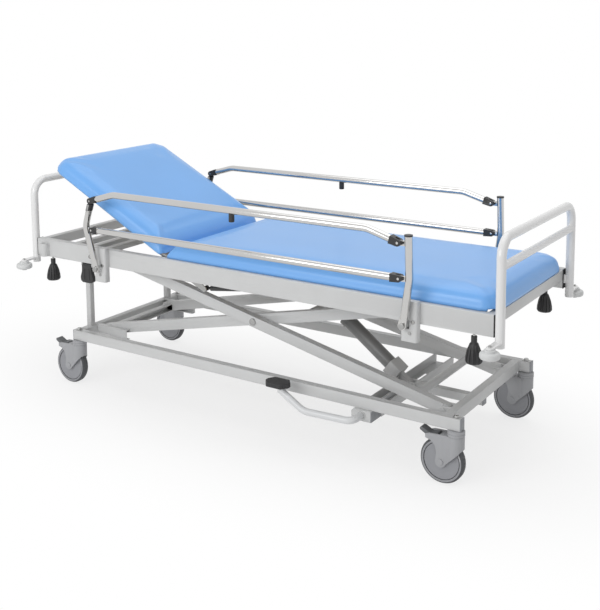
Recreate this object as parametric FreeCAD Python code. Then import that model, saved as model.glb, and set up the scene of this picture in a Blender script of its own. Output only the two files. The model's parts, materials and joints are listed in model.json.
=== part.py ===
import FreeCAD, Part
import math
import os

# Patient transport stretcher with a scissor lift, a raising backrest, folding side rails
# and removable end bows. Millimetres. X runs from the head end to the foot end, Z is up,
# and the origin is on the floor under the middle of the bed. Left is -Y.

V = FreeCAD.Vector

# Fits
RUN = 0.05            # radial clearance of a pin in its bore
GAP = 0.3             # gap between faces that pass each other or a soft piece and its seat

# Bed frame
FRAME_HALF_LENGTH = 980.0
FRAME_HALF_WIDTH = 328.0
MEMBER_WIDTH = 30.0
MEMBER_HEIGHT = 69.0
MEMBER_TOP = 581.0
MEMBER_WALL = 2.0
CROSS_TUBE_HEIGHT = 20.0
CROSS_TUBE_WIDTH = 30.0
CROSS_TUBE_DROP = 2.0          # cross tube tops lie this far under the member tops
END_TUBE_HEIGHT = 38.0

# Base frame
BASE_HEAD_X = 171.0 - FRAME_HALF_LENGTH
BASE_FOOT_X = FRAME_HALF_LENGTH - 106.0
BASE_HALF_WIDTH = FRAME_HALF_WIDTH - 10.0
RAIL_WIDTH = 30.0
RAIL_HEIGHT = 40.0
RAIL_WALL = 2.0
CAP_THICKNESS = 3.0
CAP_PLUG = 8.0
HEAD_CROSS_X = BASE_HEAD_X + 20.0
FOOT_CROSS_X = BASE_FOOT_X - 56.0

# Posts that the lowered bed rests on
REST_POST_SIZE = 24.0
REST_POST_Y = BASE_HALF_WIDTH - 82.0
BUFFER_HEIGHT = 4.0

# Casters
WHEEL_DIAMETER = 150.0
WHEEL_WIDTH = 32.0
CASTER_TRAIL = 44.0
CASTER_HEIGHT = 184.0
STEM_RADIUS = 6.0
STEM_INSET = 21.0              # caster stem to the end of its rail
AXLE_RADIUS = 5.0
FORK_PLATE = 5.0
FORK_GAP = 2.0                 # wheel side to fork plate
SWIVEL_RADIUS = 27.0

# Scissor lift
LIFT_PIVOT_X = FOOT_CROSS_X - 42.0     # fixed pivots, at the foot end
LIFT_SLIDE_X = HEAD_CROSS_X + 47.0     # sliding pivots, at the head end, bed lowered
LIFT_LOW_Z = 205.0
LIFT_HIGH_Z = 538.0
LIFT_TRAVEL = 97.0             # way of the sliding pivots along their tracks
ARM_HEIGHT = 40.0
OUTER_ARM_FACE = BASE_HALF_WIDTH - 89.0
OUTER_ARM_WIDTH = 29.0
INNER_ARM_FACE = OUTER_ARM_FACE - OUTER_ARM_WIDTH - 4.0
INNER_ARM_WIDTH = 26.0
ARM_WALL = 2.5
ARM_PIN_RADIUS = 8.0
ROLLER_RADIUS = 17.5
ROLLER_WIDTH = 14.0
ROLLER_CLEARANCE = 0.5
TRACK_WALL = 3.0
LUG_THICKNESS = 6.0

# Foot pump
PUMP_PIVOT_X = LIFT_PIVOT_X - 240.0
PUMP_PIVOT_Z = 173.0
PUMP_ROD_X = PUMP_PIVOT_X - 323.0      # where the rod's eye sits on the inner arms
PUMP_TUBE_RADIUS = 25.0
PUMP_BORE_RADIUS = 21.0
PUMP_TUBE_END = 330.0
PUMP_BLOCK_START = 45.0
PUMP_BLOCK_END = 96.0
PUMP_ROD_RADIUS = 8.0
PUMP_ROD_SIDE_PLAY = 6.6       # the rod's axis wanders this far from the tube's axis
PUMP_PIN_RADIUS = 6.0
LIFT_TUBE_RADIUS = 15.0
CHANNEL_HEAD_X = PUMP_PIVOT_X - 45.0
CHANNEL_WIDTH = 75.0
CHANNEL_DEPTH = 36.0
CHANNEL_WALL = 4.0
CHANNEL_FAR_Y = BASE_HALF_WIDTH - 12.0
TIE_TUBE_SIZE = 30.0

# Pedal
PEDAL_X = PUMP_PIVOT_X - 10.0
PEDAL_Z = 169.0
PEDAL_TUBE_RADIUS = 12.0
PEDAL_SHAFT_RADIUS = 9.0
PEDAL_REACH_Y = BASE_HALF_WIDTH + 68.0
PEDAL_PAD_X = PEDAL_X - 293.0
PEDAL_PAD_Z = 236.0
PEDAL_PAD_LENGTH = 92.0
PEDAL_PAD_WIDTH = 62.0
PEDAL_PAD_HEIGHT = 16.0
HOUSING_LENGTH = 72.0
HOUSING_DEPTH = 66.0

# End bows, with their bumpers and clamping knobs
BOW_TUBE_RADIUS = 15.0
BOW_HALF_WIDTH = FRAME_HALF_WIDTH - 8.0
BOW_BOTTOM_Z = 482.0
BOW_TOP_Z = 814.0
BOW_CORNER_RADIUS = 60.0
BOW_MID_Z = 728.0
BOW_WALL = 2.0
PLUG_FLANGE = 2.7
PEG_LENGTH = 150.0
PEG_HEIGHT = 30.0
PEG_WIDTH = 20.0
KNOB_INSET = 68.0              # knob axis to the end of the side member
KNOB_RADIUS = 27.0
KNOB_HEIGHT = 66.0
KNOB_NECK_RADIUS = 9.5
KNOB_NECK_HEIGHT = 20.0
KNOB_STEM_RADIUS = 4.0
KNOB_STEM_SHOWN = 10.0
KNOB_FLUTES = 12
BUMPER_RADIUS = 31.0
BUMPER_HEIGHT = 20.0
BUMPER_HUB_RADIUS = 18.0
BUMPER_HUB_HEIGHT = 8.0
BUMPER_OUT_X = -3.0            # bumper axis beyond the bow's posts
BUMPER_Y = BOW_HALF_WIDTH + 70.0
BUMPER_ARM_THICKNESS = 6.0
BUMPER_ARM_UP = 14.0           # underside of the bumper's arm above the bow's lower end
BUMPER_BOLT_RADIUS = 5.0

# Side rails
RAIL_PLANE_Y = FRAME_HALF_WIDTH + 42.0
SIDE_TUBE_RADIUS = 12.5
SIDE_TUBE_WALL = 1.5
HEAD_POST_X = 363.0 - FRAME_HALF_LENGTH
FOOT_POST_X = FRAME_HALF_LENGTH - 285.0
POST_PIVOT_Z = 511.0
MID_JOINT_X = -10.0            # joints measured from the post's pivot
MID_JOINT_Z = 152.0
TOP_JOINT_X = -14.0
TOP_JOINT_Z = 265.0
POST_BOW_OUT = 34.0            # post centre line beyond the joints
POST_TOP_Z = 288.0
TOP_BAR_Z = 808.0
TOP_BAR_DROP_LENGTH = 112.0
JOINT_PIN_RADIUS = 4.0
FITTING_LENGTH = 30.0          # black fork at a bar's end, joint to tube
FITTING_RADIUS = 13.0
TONGUE_THICKNESS = 9.0
POST_PIN_RADIUS = 6.0
BRACKET_LENGTH = 58.0
BRACKET_BOTTOM_Z = 456.0
BRACKET_TOP_Z = 588.0
BRACKET_DEPTH = 24.0
BRACKET_WALL = 4.0
BRACKET_BAR = 27.0             # width of the bracket's upright bar
FOOT_BRACKET_SHIFT = 13.0
BUFFER_X = 35.0

# Backrest
HINGE_X = 645.0 - FRAME_HALF_LENGTH
HINGE_Z = 576.0
HINGE_PIN_RADIUS = 3.0
KNUCKLE_RADIUS = 6.0
KNUCKLE_WIDTH = 24.0
BACKREST_ANGLE = 27.1          # raised this far in the stored pose
BACKREST_LENGTH = 640.0
BOARD_THICKNESS = 8.3
BOARD_HALF_WIDTH = FRAME_HALF_WIDTH - 38.0
LEG_BOARD_HALF_WIDTH = FRAME_HALF_WIDTH - 66.0
PAD_HALF_WIDTH = FRAME_HALF_WIDTH - 12.0
PAD_RIM = 16.0                 # the pads' rims reach down past the boards
PAD_THICKNESS = 53.0
PAD_CORNER = 22.0
PAD_EDGE = 14.0
PAD_SLANT = 31.0               # the pads' ends at the hinge lean back by this angle
LEG_PAD_END_X = FRAME_HALF_LENGTH - 3.0
LEVER_LENGTH = 203.0
LEVER_HALF_HEIGHT = 11.0
LEVER_THICKNESS = 5.0

# Gas spring of the backrest, on the left
GAS_Y = FRAME_HALF_WIDTH - 49.0
GAS_RADIUS = 10.0
GAS_BORE_RADIUS = 7.0
GAS_ROD_RADIUS = 4.0
GAS_TUBE_LENGTH = 255.0
GAS_EYE_RADIUS = 10.0
GAS_EYE_WIDTH = 12.0
GAS_BOLT_RADIUS = 5.0
GAS_FOOT_X = HINGE_X + 635.0
GAS_FOOT_Z = 546.0
GAS_WINDOW_BACK = 33.0         # way that the rod's stud has in its bracket
GAS_WINDOW_UP = 24.0

# Hand controls
HANDLE_X = HEAD_POST_X - 94.0
HANDLE_LENGTH = 66.0
HANDLE_BOTTOM_Z = 434.0
HANDLE_THICKNESS = 16.0
HANDLE_Y = FRAME_HALF_WIDTH - 7.0
HANDLE_PIVOT_DROP = 9.0        # pivot of the handle under the side member
HANDLE_PIN_RADIUS = 3.0
HANDLE_KNUCKLE_RADIUS = 6.5
LATCH_X = HEAD_POST_X - 51.0
LATCH_Z = 548.0
LATCH_PIN_RADIUS = 4.0
SOCKET_X = 50.0 - FRAME_HALF_LENGTH
SOCKET_RADIUS = 17.0
SOCKET_BORE_RADIUS = 9.0
SOCKET_LENGTH = 52.0

# Worked out from the sizes above
RAIL_BOTTOM = CASTER_HEIGHT
RAIL_TOP = RAIL_BOTTOM + RAIL_HEIGHT
RAIL_Y = BASE_HALF_WIDTH - RAIL_WIDTH / 2
RAIL_INNER_Y = BASE_HALF_WIDTH - RAIL_WIDTH
MEMBER_BOTTOM = MEMBER_TOP - MEMBER_HEIGHT
MEMBER_Y = FRAME_HALF_WIDTH - MEMBER_WIDTH / 2
MEMBER_INNER_Y = FRAME_HALF_WIDTH - MEMBER_WIDTH
CROSS_TOP = MEMBER_TOP - CROSS_TUBE_DROP
CROSS_BOTTOM = CROSS_TOP - CROSS_TUBE_HEIGHT
ARM_RUN = LIFT_PIVOT_X - LIFT_SLIDE_X
ARM_RISE = LIFT_HIGH_Z - LIFT_LOW_Z
ARM_LENGTH = math.hypot(ARM_RUN, ARM_RISE)
ARM_ANGLE = math.degrees(math.atan2(ARM_RISE, ARM_RUN))
CROSSING_X = (LIFT_PIVOT_X + LIFT_SLIDE_X) / 2
CROSSING_Z = (LIFT_LOW_Z + LIFT_HIGH_Z) / 2
PUMP_ROD_Z = LIFT_LOW_Z + (PUMP_ROD_X - LIFT_SLIDE_X) * ARM_RISE / ARM_RUN
BOW_X = FRAME_HALF_LENGTH + PLUG_FLANGE + BOW_TUBE_RADIUS + GAP
CHANNEL_FOOT_X = CHANNEL_HEAD_X + CHANNEL_WIDTH
CHANNEL_BOTTOM = RAIL_BOTTOM - CHANNEL_DEPTH
BOARD_BOTTOM = CROSS_TOP
PAD_BOTTOM = BOARD_BOTTOM + BOARD_THICKNESS + GAP
LEVER_X = HINGE_X + LEVER_LENGTH * math.cos(math.radians(BACKREST_ANGLE))
LEVER_Z = HINGE_Z - LEVER_LENGTH * math.sin(math.radians(BACKREST_ANGLE))
STEM_XS = (BASE_HEAD_X + STEM_INSET, BASE_FOOT_X - STEM_INSET)
SIDES = (("left", -1), ("right", 1))
ENDS = (("head", -1), ("foot", 1))


def box(x0, x1, y0, y1, z0, z1):
    low = V(min(x0, x1), min(y0, y1), min(z0, z1))
    return Part.makeBox(abs(x1 - x0), abs(y1 - y0), abs(z1 - z0), low)


def rod(radius, start, end):
    start = V(*start)
    along = V(*end) - start
    return Part.makeCylinder(radius, along.Length, start, along)


def rod_y(radius, x, z, y0, y1):
    return rod(radius, (x, min(y0, y1), z), (x, max(y0, y1), z))


def mirrored(shape):
    return shape.mirror(V(0, 0, 0), V(0, 1, 0))


def on_side(shape, sign):
    """Shapes are drawn on the +Y side and mirrored for the left."""
    return shape if sign > 0 else mirrored(shape)


def fuse(*shapes):
    body = shapes[0]
    for shape in shapes[1:]:
        body = body.fuse(shape)
    return body.removeSplitter()


def group(*shapes):
    return Part.makeCompound(list(shapes))


def open_tube_x(x0, x1, y, z, width, height, wall):
    """Rectangular tube along X, open at both ends, centred on y and z."""
    outer = box(x0, x1, y - width / 2, y + width / 2, z - height / 2, z + height / 2)
    inner = box(x0 - 1, x1 + 1, y - width / 2 + wall, y + width / 2 - wall,
                z - height / 2 + wall, z + height / 2 - wall)
    return outer.cut(inner)


def open_tube_y(y0, y1, x, z, width, height, wall):
    """Rectangular tube along Y, open at both ends, centred on x and z."""
    outer = box(x - width / 2, x + width / 2, y0, y1, z - height / 2, z + height / 2)
    inner = box(x - width / 2 + wall, x + width / 2 - wall, y0 - 1, y1 + 1,
                z - height / 2 + wall, z + height / 2 - wall)
    return outer.cut(inner)


def plate_xz(circles, y0, y1):
    """Plate in the XZ plane: the outline is the belt round the circles (x, z, radius)."""
    hull = None
    for (xa, za, ra), (xb, zb, rb) in zip(circles, circles[1:]):
        length = math.hypot(xb - xa, zb - za)
        along = math.atan2(zb - za, xb - xa)
        spread = math.acos((ra - rb) / length)
        corners = []
        for (x, z, r), sides in (((xa, za, ra), (1, -1)), ((xb, zb, rb), (-1, 1))):
            for side in sides:
                angle = along + side * spread
                corners.append(V(x + r * math.cos(angle), y0, z + r * math.sin(angle)))
        corners.append(corners[0])
        strip = Part.Face(Part.makePolygon(corners)).extrude(V(0, y1 - y0, 0))
        for x, z, r in ((xa, za, ra), (xb, zb, rb)):
            strip = strip.fuse(rod_y(r, x, z, y0, y1))
        hull = strip if hull is None else hull.fuse(strip)
    return hull.removeSplitter()


def tube_path(points, bend_radii, radius):
    """Round bar along straight runs joined by tangent arcs."""
    points = [V(*p) for p in points]
    edges = []
    start = points[0]
    for before, corner, after, bend in zip(points, points[1:], points[2:], bend_radii):
        into = (corner - before).normalize()
        out = (after - corner).normalize()
        turn = into.getAngle(out)
        setback = bend * math.tan(turn / 2)
        arc_start = corner - into * setback
        arc_end = corner + out * setback
        inward = (out - into).normalize()
        middle = corner + inward * (bend / math.cos(turn / 2) - bend)
        edges.append(Part.LineSegment(start, arc_start).toShape())
        edges.append(Part.Arc(arc_start, middle, arc_end).toShape())
        start = arc_end
    edges.append(Part.LineSegment(start, points[-1]).toShape())
    path = Part.Wire(edges)
    direction = (points[1] - points[0]).normalize()
    profile = Part.Wire([Part.makeCircle(radius, points[0], direction)])
    return path.makePipeShell([profile], True, True)


def revolved(profile, centre, axis):
    """Solid of revolution of (radius, height) points about an axis along Y or Z."""
    if axis == "z":
        points = [centre + V(r, 0, h) for r, h in profile]
        direction = V(0, 0, 1)
    else:
        points = [centre + V(r, h, 0) for r, h in profile]
        direction = V(0, 1, 0)
    points.append(points[0])
    return Part.Face(Part.makePolygon(points)).revolve(centre, direction, 360)


def rounded(shape, radius, wanted):
    edges = [edge for edge in shape.Edges if wanted(edge)]
    return shape.makeFillet(radius, edges)


def is_upright(edge):
    start, end = edge.Vertexes[0].Point, edge.Vertexes[-1].Point
    return abs(start.x - end.x) < 0.01 and abs(start.y - end.y) < 0.01


# Base frame: two long rails, welded cross tubes, and the channel that carries the pump
def base_rail(sign):
    x0 = BASE_HEAD_X + CAP_THICKNESS
    x1 = BASE_FOOT_X - CAP_THICKNESS
    rail = open_tube_x(x0, x1, RAIL_Y, (RAIL_BOTTOM + RAIL_TOP) / 2, RAIL_WIDTH, RAIL_HEIGHT, RAIL_WALL)
    for x in STEM_XS:
        rail = rail.cut(rod(STEM_RADIUS + RUN, (x, RAIL_Y, RAIL_BOTTOM - 1), (x, RAIL_Y, RAIL_TOP + 1)))
    return on_side(rail, sign)


def base_cross_tubes():
    middle = (RAIL_BOTTOM + RAIL_TOP) / 2
    tubes = []
    for x in (HEAD_CROSS_X, FOOT_CROSS_X):
        tubes.append(open_tube_y(-RAIL_INNER_Y, RAIL_INNER_Y, x, middle, RAIL_WIDTH, RAIL_HEIGHT, RAIL_WALL))
    tie_end = BASE_FOOT_X - STEM_INSET - 32 - CAP_THICKNESS
    tubes.append(open_tube_x(CHANNEL_FOOT_X, tie_end, 0, RAIL_BOTTOM - TIE_TUBE_SIZE / 2,
                             TIE_TUBE_SIZE, TIE_TUBE_SIZE, RAIL_WALL))
    half = REST_POST_SIZE / 2
    top = CROSS_BOTTOM - BUFFER_HEIGHT - GAP
    for _, sign in SIDES:
        tubes.append(box(HEAD_CROSS_X - half, HEAD_CROSS_X + half, sign * REST_POST_Y - half,
                         sign * REST_POST_Y + half, RAIL_TOP, top))
    return group(*tubes)


def tube_end_caps():
    caps = []
    middle = (RAIL_BOTTOM + RAIL_TOP) / 2
    inside_w = RAIL_WIDTH - 2 * RAIL_WALL
    inside_h = RAIL_HEIGHT - 2 * RAIL_WALL
    for _, sign in SIDES:
        for edge, inward in ((BASE_HEAD_X, 1), (BASE_FOOT_X, -1)):
            face = edge + inward * CAP_THICKNESS
            flange = box(edge, face, RAIL_Y - RAIL_WIDTH / 2, RAIL_Y + RAIL_WIDTH / 2, RAIL_BOTTOM, RAIL_TOP)
            plug = box(face, face + inward * CAP_PLUG, RAIL_Y - inside_w / 2, RAIL_Y + inside_w / 2,
                       middle - inside_h / 2, middle + inside_h / 2)
            caps.append(on_side(fuse(flange, plug), sign))
    tie_end = BASE_FOOT_X - STEM_INSET - 32
    half = TIE_TUBE_SIZE / 2
    caps.append(box(tie_end - CAP_THICKNESS, tie_end, -half, half, RAIL_BOTTOM - TIE_TUBE_SIZE, RAIL_BOTTOM))
    post_half = REST_POST_SIZE / 2
    buffer_bottom = CROSS_BOTTOM - BUFFER_HEIGHT - GAP
    for _, sign in SIDES:
        caps.append(box(HEAD_CROSS_X - post_half, HEAD_CROSS_X + post_half, sign * REST_POST_Y - post_half,
                        sign * REST_POST_Y + post_half, buffer_bottom, buffer_bottom + BUFFER_HEIGHT))
    housing_end = CHANNEL_HEAD_X - 3 + HOUSING_LENGTH
    caps.append(box(housing_end, housing_end + CAP_THICKNESS, -BASE_HALF_WIDTH - 12,
                    -BASE_HALF_WIDTH - 12 + HOUSING_DEPTH, CHANNEL_BOTTOM, RAIL_BOTTOM - GAP))
    return group(*caps)


def track(x0, x1, y_web, y_open, z):
    """C-shaped track along X for a roller at height z; the web is at y_web."""
    inner = ROLLER_RADIUS + ROLLER_CLEARANCE
    towards = 1 if y_open > y_web else -1
    body = box(x0, x1, y_web, y_open, z - inner - TRACK_WALL, z + inner + TRACK_WALL)
    hollow = box(x0 - 1, x1 + 1, y_web + towards * TRACK_WALL, y_open + towards, z - inner, z + inner)
    return body.cut(hollow)


def arm_base_mounts():
    pieces = []
    cross_face = HEAD_CROSS_X + RAIL_WIDTH / 2
    roller_y = INNER_ARM_FACE + 1
    web_y = roller_y + ROLLER_WIDTH + 2 + TRACK_WALL
    lug_x = FOOT_CROSS_X - RAIL_WIDTH / 2
    for _, sign in SIDES:
        slide = track(cross_face, LIFT_SLIDE_X + LIFT_TRAVEL + ROLLER_RADIUS + 12, web_y, roller_y, LIFT_LOW_Z)
        pieces.append(on_side(slide, sign))
        for y in (OUTER_ARM_FACE + 1, OUTER_ARM_FACE - OUTER_ARM_WIDTH - 1 - LUG_THICKNESS):
            lug = plate_xz([(LIFT_PIVOT_X, LIFT_LOW_Z, 16), (lug_x - 16, LIFT_LOW_Z, 16)], y, y + LUG_THICKNESS)
            lug = lug.fuse(box(lug_x - 16, lug_x, y, y + LUG_THICKNESS, LIFT_LOW_Z - 16, LIFT_LOW_Z + 16))
            lug = lug.removeSplitter().cut(rod_y(ARM_PIN_RADIUS + RUN, LIFT_PIVOT_X, LIFT_LOW_Z, y - 1,
                                                 y + LUG_THICKNESS + 1))
            pieces.append(on_side(lug, sign))
    return group(*pieces)


def pump_channel():
    y0 = -BASE_HALF_WIDTH - 12 + HOUSING_DEPTH
    body = box(CHANNEL_HEAD_X, CHANNEL_FOOT_X, y0, CHANNEL_FAR_Y, CHANNEL_BOTTOM, RAIL_BOTTOM)
    body = body.cut(box(CHANNEL_HEAD_X + CHANNEL_WALL, CHANNEL_FOOT_X - CHANNEL_WALL, y0 - 1, CHANNEL_FAR_Y + 1,
                        CHANNEL_BOTTOM + CHANNEL_WALL, RAIL_BOTTOM + 1))
    slot_x = (CHANNEL_HEAD_X + CHANNEL_FOOT_X) / 2
    body = body.cut(box(slot_x - 15, slot_x + 15, 60, 170, CHANNEL_BOTTOM - 1, CHANNEL_BOTTOM + CHANNEL_WALL + 1))
    for y in (32, 50):
        z = CHANNEL_BOTTOM + CHANNEL_DEPTH / 2
        body = body.cut(rod(4, (CHANNEL_FOOT_X - 10, y, z), (CHANNEL_FOOT_X + 1, y, z)))
    for y in (-PUMP_EYE_HALF - 1 - LUG_THICKNESS, PUMP_EYE_HALF + 1):
        cheek = box(CHANNEL_HEAD_X + CHANNEL_WALL, CHANNEL_FOOT_X - CHANNEL_WALL, y, y + LUG_THICKNESS,
                    CHANNEL_BOTTOM + CHANNEL_WALL, RAIL_BOTTOM)
        body = body.fuse(cheek)
    pin = rod_y(PUMP_PIN_RADIUS, PUMP_PIVOT_X, PUMP_PIVOT_Z, -PUMP_EYE_HALF - 1 - LUG_THICKNESS,
                PUMP_EYE_HALF + 1 + LUG_THICKNESS)
    return body.fuse(pin).removeSplitter()


PUMP_EYE_HALF = 12.0


def pedal_housing():
    x0 = CHANNEL_HEAD_X - 3
    y0 = -BASE_HALF_WIDTH - 12
    body = box(x0, x0 + HOUSING_LENGTH, y0, y0 + HOUSING_DEPTH, CHANNEL_BOTTOM, RAIL_BOTTOM)
    body = rounded(body, 10, lambda e: abs(e.BoundBox.XMax - x0) < 0.01 and e.BoundBox.YLength > 10)
    body = body.fuse(rod_y(PEDAL_TUBE_RADIUS + 3, PEDAL_X, PEDAL_Z, y0 - 3, y0 + 1))
    return body.cut(rod_y(PEDAL_SHAFT_RADIUS + RUN, PEDAL_X, PEDAL_Z, y0 - 5, y0 + HOUSING_DEPTH + 1))


def caster_stems():
    stems = []
    for _, sign in SIDES:
        for x in STEM_XS:
            stud = rod(STEM_RADIUS, (x, RAIL_Y, RAIL_BOTTOM - 20), (x, RAIL_Y, RAIL_TOP + 1))
            head = rod(11, (x, RAIL_Y, RAIL_TOP), (x, RAIL_Y, RAIL_TOP + 3))
            nut = rod(8, (x, RAIL_Y, RAIL_TOP + 3), (x, RAIL_Y, RAIL_TOP + 8))
            stems.append(on_side(fuse(stud, head, nut), sign))
    return group(*stems)


# Casters: a swivelling fork, a wheel and a brake pedal
def caster_fork(x, sign):
    """Moulded fork: two side plates that close round the front under the swivel head."""
    y = RAIL_Y
    axle_x = x - CASTER_TRAIL
    wheel_r = WHEEL_DIAMETER / 2
    inner = WHEEL_WIDTH / 2 + FORK_GAP
    outer = inner + FORK_PLATE
    crown_z = WHEEL_DIAMETER + 4
    top = crown_z + 10
    front = CASTER_TRAIL + SWIVEL_RADIUS
    outline = [(-17, 0), (-14, 28), (-19, 50), (-34, 65), (-52, 70), (-53, 82), (-40, top - wheel_r - 2),
               (0, top - wheel_r), (front, top - wheel_r), (front, 48), (60, 36), (17, -6)]
    corners = [V(axle_x + dx, y - outer - 5, wheel_r + dz) for dx, dz in outline]
    corners.append(corners[0])
    side = Part.Face(Part.makePolygon(corners)).extrude(V(0, 2 * outer + 10, 0))
    side = side.fuse(rod_y(18, axle_x, wheel_r, y - outer - 5, y + outer + 5))
    plan = box(x - 2 * front, x, y - outer, y + outer, 0, top).fuse(rod(SWIVEL_RADIUS, (x, y, 0), (x, y, top)))
    shell = side.common(plan)
    shell = shell.cut(box(x - 2 * front, x, y - inner, y + inner, 0, crown_z))
    shell = shell.cut(box(x - 2 * front, axle_x - 4, y - inner, y + inner, 0, top + 1))
    shell = shell.cut(rod(SWIVEL_RADIUS - 7, (x, y, 0), (x, y, crown_z)))
    shell = shell.cut(rod_y(wheel_r + 3, axle_x, wheel_r, y - inner, y + inner))
    caps = [rod_y(10, axle_x, wheel_r, y + turn * outer, y + turn * (outer + 3)) for turn in (-1, 1)]
    r = SWIVEL_RADIUS
    race_top = RAIL_BOTTOM - GAP
    profile = [(STEM_RADIUS - 1, top - 1), (r - 2, top - 1), (r + 1, top + 2), (r + 1, top + 9), (r - 0.5, top + 10),
               (r + 1, top + 11), (r + 1, race_top - 3), (r - 2, race_top), (STEM_RADIUS - 1, race_top)]
    race = revolved(profile, V(x, y, 0), "z")
    axle = rod_y(AXLE_RADIUS, axle_x, wheel_r, y - inner - 1, y + inner + 1)
    brake_pin = rod_y(3, BRAKE_X + x, BRAKE_Z, y - inner - 1, y + inner + 1)
    fork = fuse(shell, *caps, race, axle, brake_pin)
    bore = rod(STEM_RADIUS + RUN, (x, y, RAIL_BOTTOM - 20 - 1), (x, y, RAIL_BOTTOM + 1))
    return on_side(fork.cut(bore), sign)


BRAKE_X = -84.0
BRAKE_Z = 151.0
BRAKE_HALF_WIDTH = 14.0


def caster_wheel(x, sign):
    wheel_r = WHEEL_DIAMETER / 2
    half = WHEEL_WIDTH / 2
    bore = AXLE_RADIUS + RUN
    near = [(bore, half), (16, half), (18, half - 3), (57, half - 4), (wheel_r * 0.8, half - 3),
            (wheel_r * 0.805, half - 6), (wheel_r * 0.835, half - 6), (wheel_r * 0.84, half - 1),
            (wheel_r * 0.92, half - 1), (wheel_r * 0.97, half - 4), (wheel_r, half - 9)]
    profile = [(r, -h) for r, h in near] + near[::-1]
    return on_side(revolved(profile, V(x - CASTER_TRAIL, RAIL_Y, wheel_r), "y"), sign)


def caster_brake(x, sign):
    y = RAIL_Y
    px = x + BRAKE_X
    half = BRAKE_HALF_WIDTH
    lever = plate_xz([(px, BRAKE_Z, 7), (px - 30, BRAKE_Z + 16, 6)], y - half, y + half)
    arm = plate_xz([(px, BRAKE_Z, 7), (px + 24, BRAKE_Z + 9, 4)], y - half, y + half)
    body = fuse(lever, arm)
    return on_side(body.cut(rod_y(3 + RUN, px, BRAKE_Z, y - 40, y + 40)), sign)


# Scissor arms
def arm_tube(y_face, width, foot_low):
    """One arm as a rectangular tube with a bush across it at each pivot."""
    half = ARM_HEIGHT / 2
    y0 = y_face - width
    x0 = LIFT_SLIDE_X
    x1 = x0 + ARM_LENGTH
    tube = box(x0, x1, y0, y_face, -half, half)
    tube = tube.cut(box(x0, x1, y0 + ARM_WALL, y_face - ARM_WALL, -half + ARM_WALL, half - ARM_WALL))
    for x, radius in ((x0, half), ((x0 + x1) / 2, ARM_PIN_RADIUS + 5), (x1, half)):
        tube = tube.fuse(rod_y(radius, x, 0, y0, y_face))
    tube = tube.removeSplitter()
    low = V(LIFT_SLIDE_X, 0, 0)
    angle = ARM_ANGLE if foot_low else -ARM_ANGLE
    tube.rotate(low, V(0, 1, 0), angle)
    tube.translate(V(0, 0, LIFT_HIGH_Z if foot_low else LIFT_LOW_Z))
    return tube


def pin_bore(x, z, y0, y1, radius=ARM_PIN_RADIUS + RUN):
    return rod_y(radius, x, z, y0, y1)


OUTER_CROSS_AT = (0.16, 0.93)  # cross tubes of the outer arms, as shares of their length


def outer_arms():
    y_in = OUTER_ARM_FACE - OUTER_ARM_WIDTH
    pieces = []
    arm = arm_tube(OUTER_ARM_FACE, OUTER_ARM_WIDTH, True)
    arm = arm.fuse(rod_y(ARM_PIN_RADIUS, CROSSING_X, CROSSING_Z, INNER_ARM_FACE - INNER_ARM_WIDTH - 3, y_in))
    arm = arm.fuse(rod_y(13, CROSSING_X, CROSSING_Z, OUTER_ARM_FACE, OUTER_ARM_FACE + 5))
    foot_pin = rod_y(ARM_PIN_RADIUS, LIFT_PIVOT_X, LIFT_LOW_Z, y_in - 1 - LUG_THICKNESS - 2,
                     OUTER_ARM_FACE + 1 + LUG_THICKNESS + 2)
    axle_y = OUTER_ARM_FACE + 1
    roller_pin = rod_y(6, LIFT_SLIDE_X, LIFT_HIGH_Z, OUTER_ARM_FACE - 1, axle_y + ROLLER_WIDTH)
    roller = rod_y(ROLLER_RADIUS, LIFT_SLIDE_X, LIFT_HIGH_Z, axle_y, axle_y + ROLLER_WIDTH)
    arm = fuse(arm, foot_pin, roller_pin, roller)
    for _, sign in SIDES:
        pieces.append(on_side(arm, sign))
    for share in OUTER_CROSS_AT:
        x = LIFT_SLIDE_X + ARM_RUN * share
        z = LIFT_HIGH_Z - ARM_RISE * share
        pieces.append(rod_y(14, x, z, -y_in, y_in).cut(rod_y(14 - ARM_WALL, x, z, -y_in - 1, y_in + 1)))
    return group(*pieces)


def inner_arms():
    y_in = INNER_ARM_FACE - INNER_ARM_WIDTH
    arm = arm_tube(INNER_ARM_FACE, INNER_ARM_WIDTH, False)
    top_pin = rod_y(ARM_PIN_RADIUS, LIFT_PIVOT_X, LIFT_HIGH_Z, y_in - 1 - LUG_THICKNESS - 2,
                    INNER_ARM_FACE + 1 + LUG_THICKNESS + 2)
    axle_y = INNER_ARM_FACE + 1
    roller_pin = rod_y(6, LIFT_SLIDE_X, LIFT_LOW_Z, INNER_ARM_FACE - 1, axle_y + ROLLER_WIDTH)
    roller = rod_y(ROLLER_RADIUS, LIFT_SLIDE_X, LIFT_LOW_Z, axle_y, axle_y + ROLLER_WIDTH)
    arm = fuse(arm, top_pin, roller_pin, roller)
    arm = arm.cut(pin_bore(CROSSING_X, CROSSING_Z, y_in - 5, INNER_ARM_FACE + 5))
    pieces = [on_side(arm, sign) for _, sign in SIDES]
    pieces.append(rod_y(LIFT_TUBE_RADIUS, PUMP_ROD_X, PUMP_ROD_Z, -y_in, y_in))
    cross = box(LIFT_SLIDE_X + 6, LIFT_SLIDE_X + 36, -y_in, y_in, LIFT_LOW_Z - 14, LIFT_LOW_Z + 16)
    cross = cross.cut(box(LIFT_SLIDE_X + 9, LIFT_SLIDE_X + 40, -y_in - 1, y_in + 1, LIFT_LOW_Z - 11, LIFT_LOW_Z + 13))
    pieces.append(cross)
    return group(*pieces)


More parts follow.
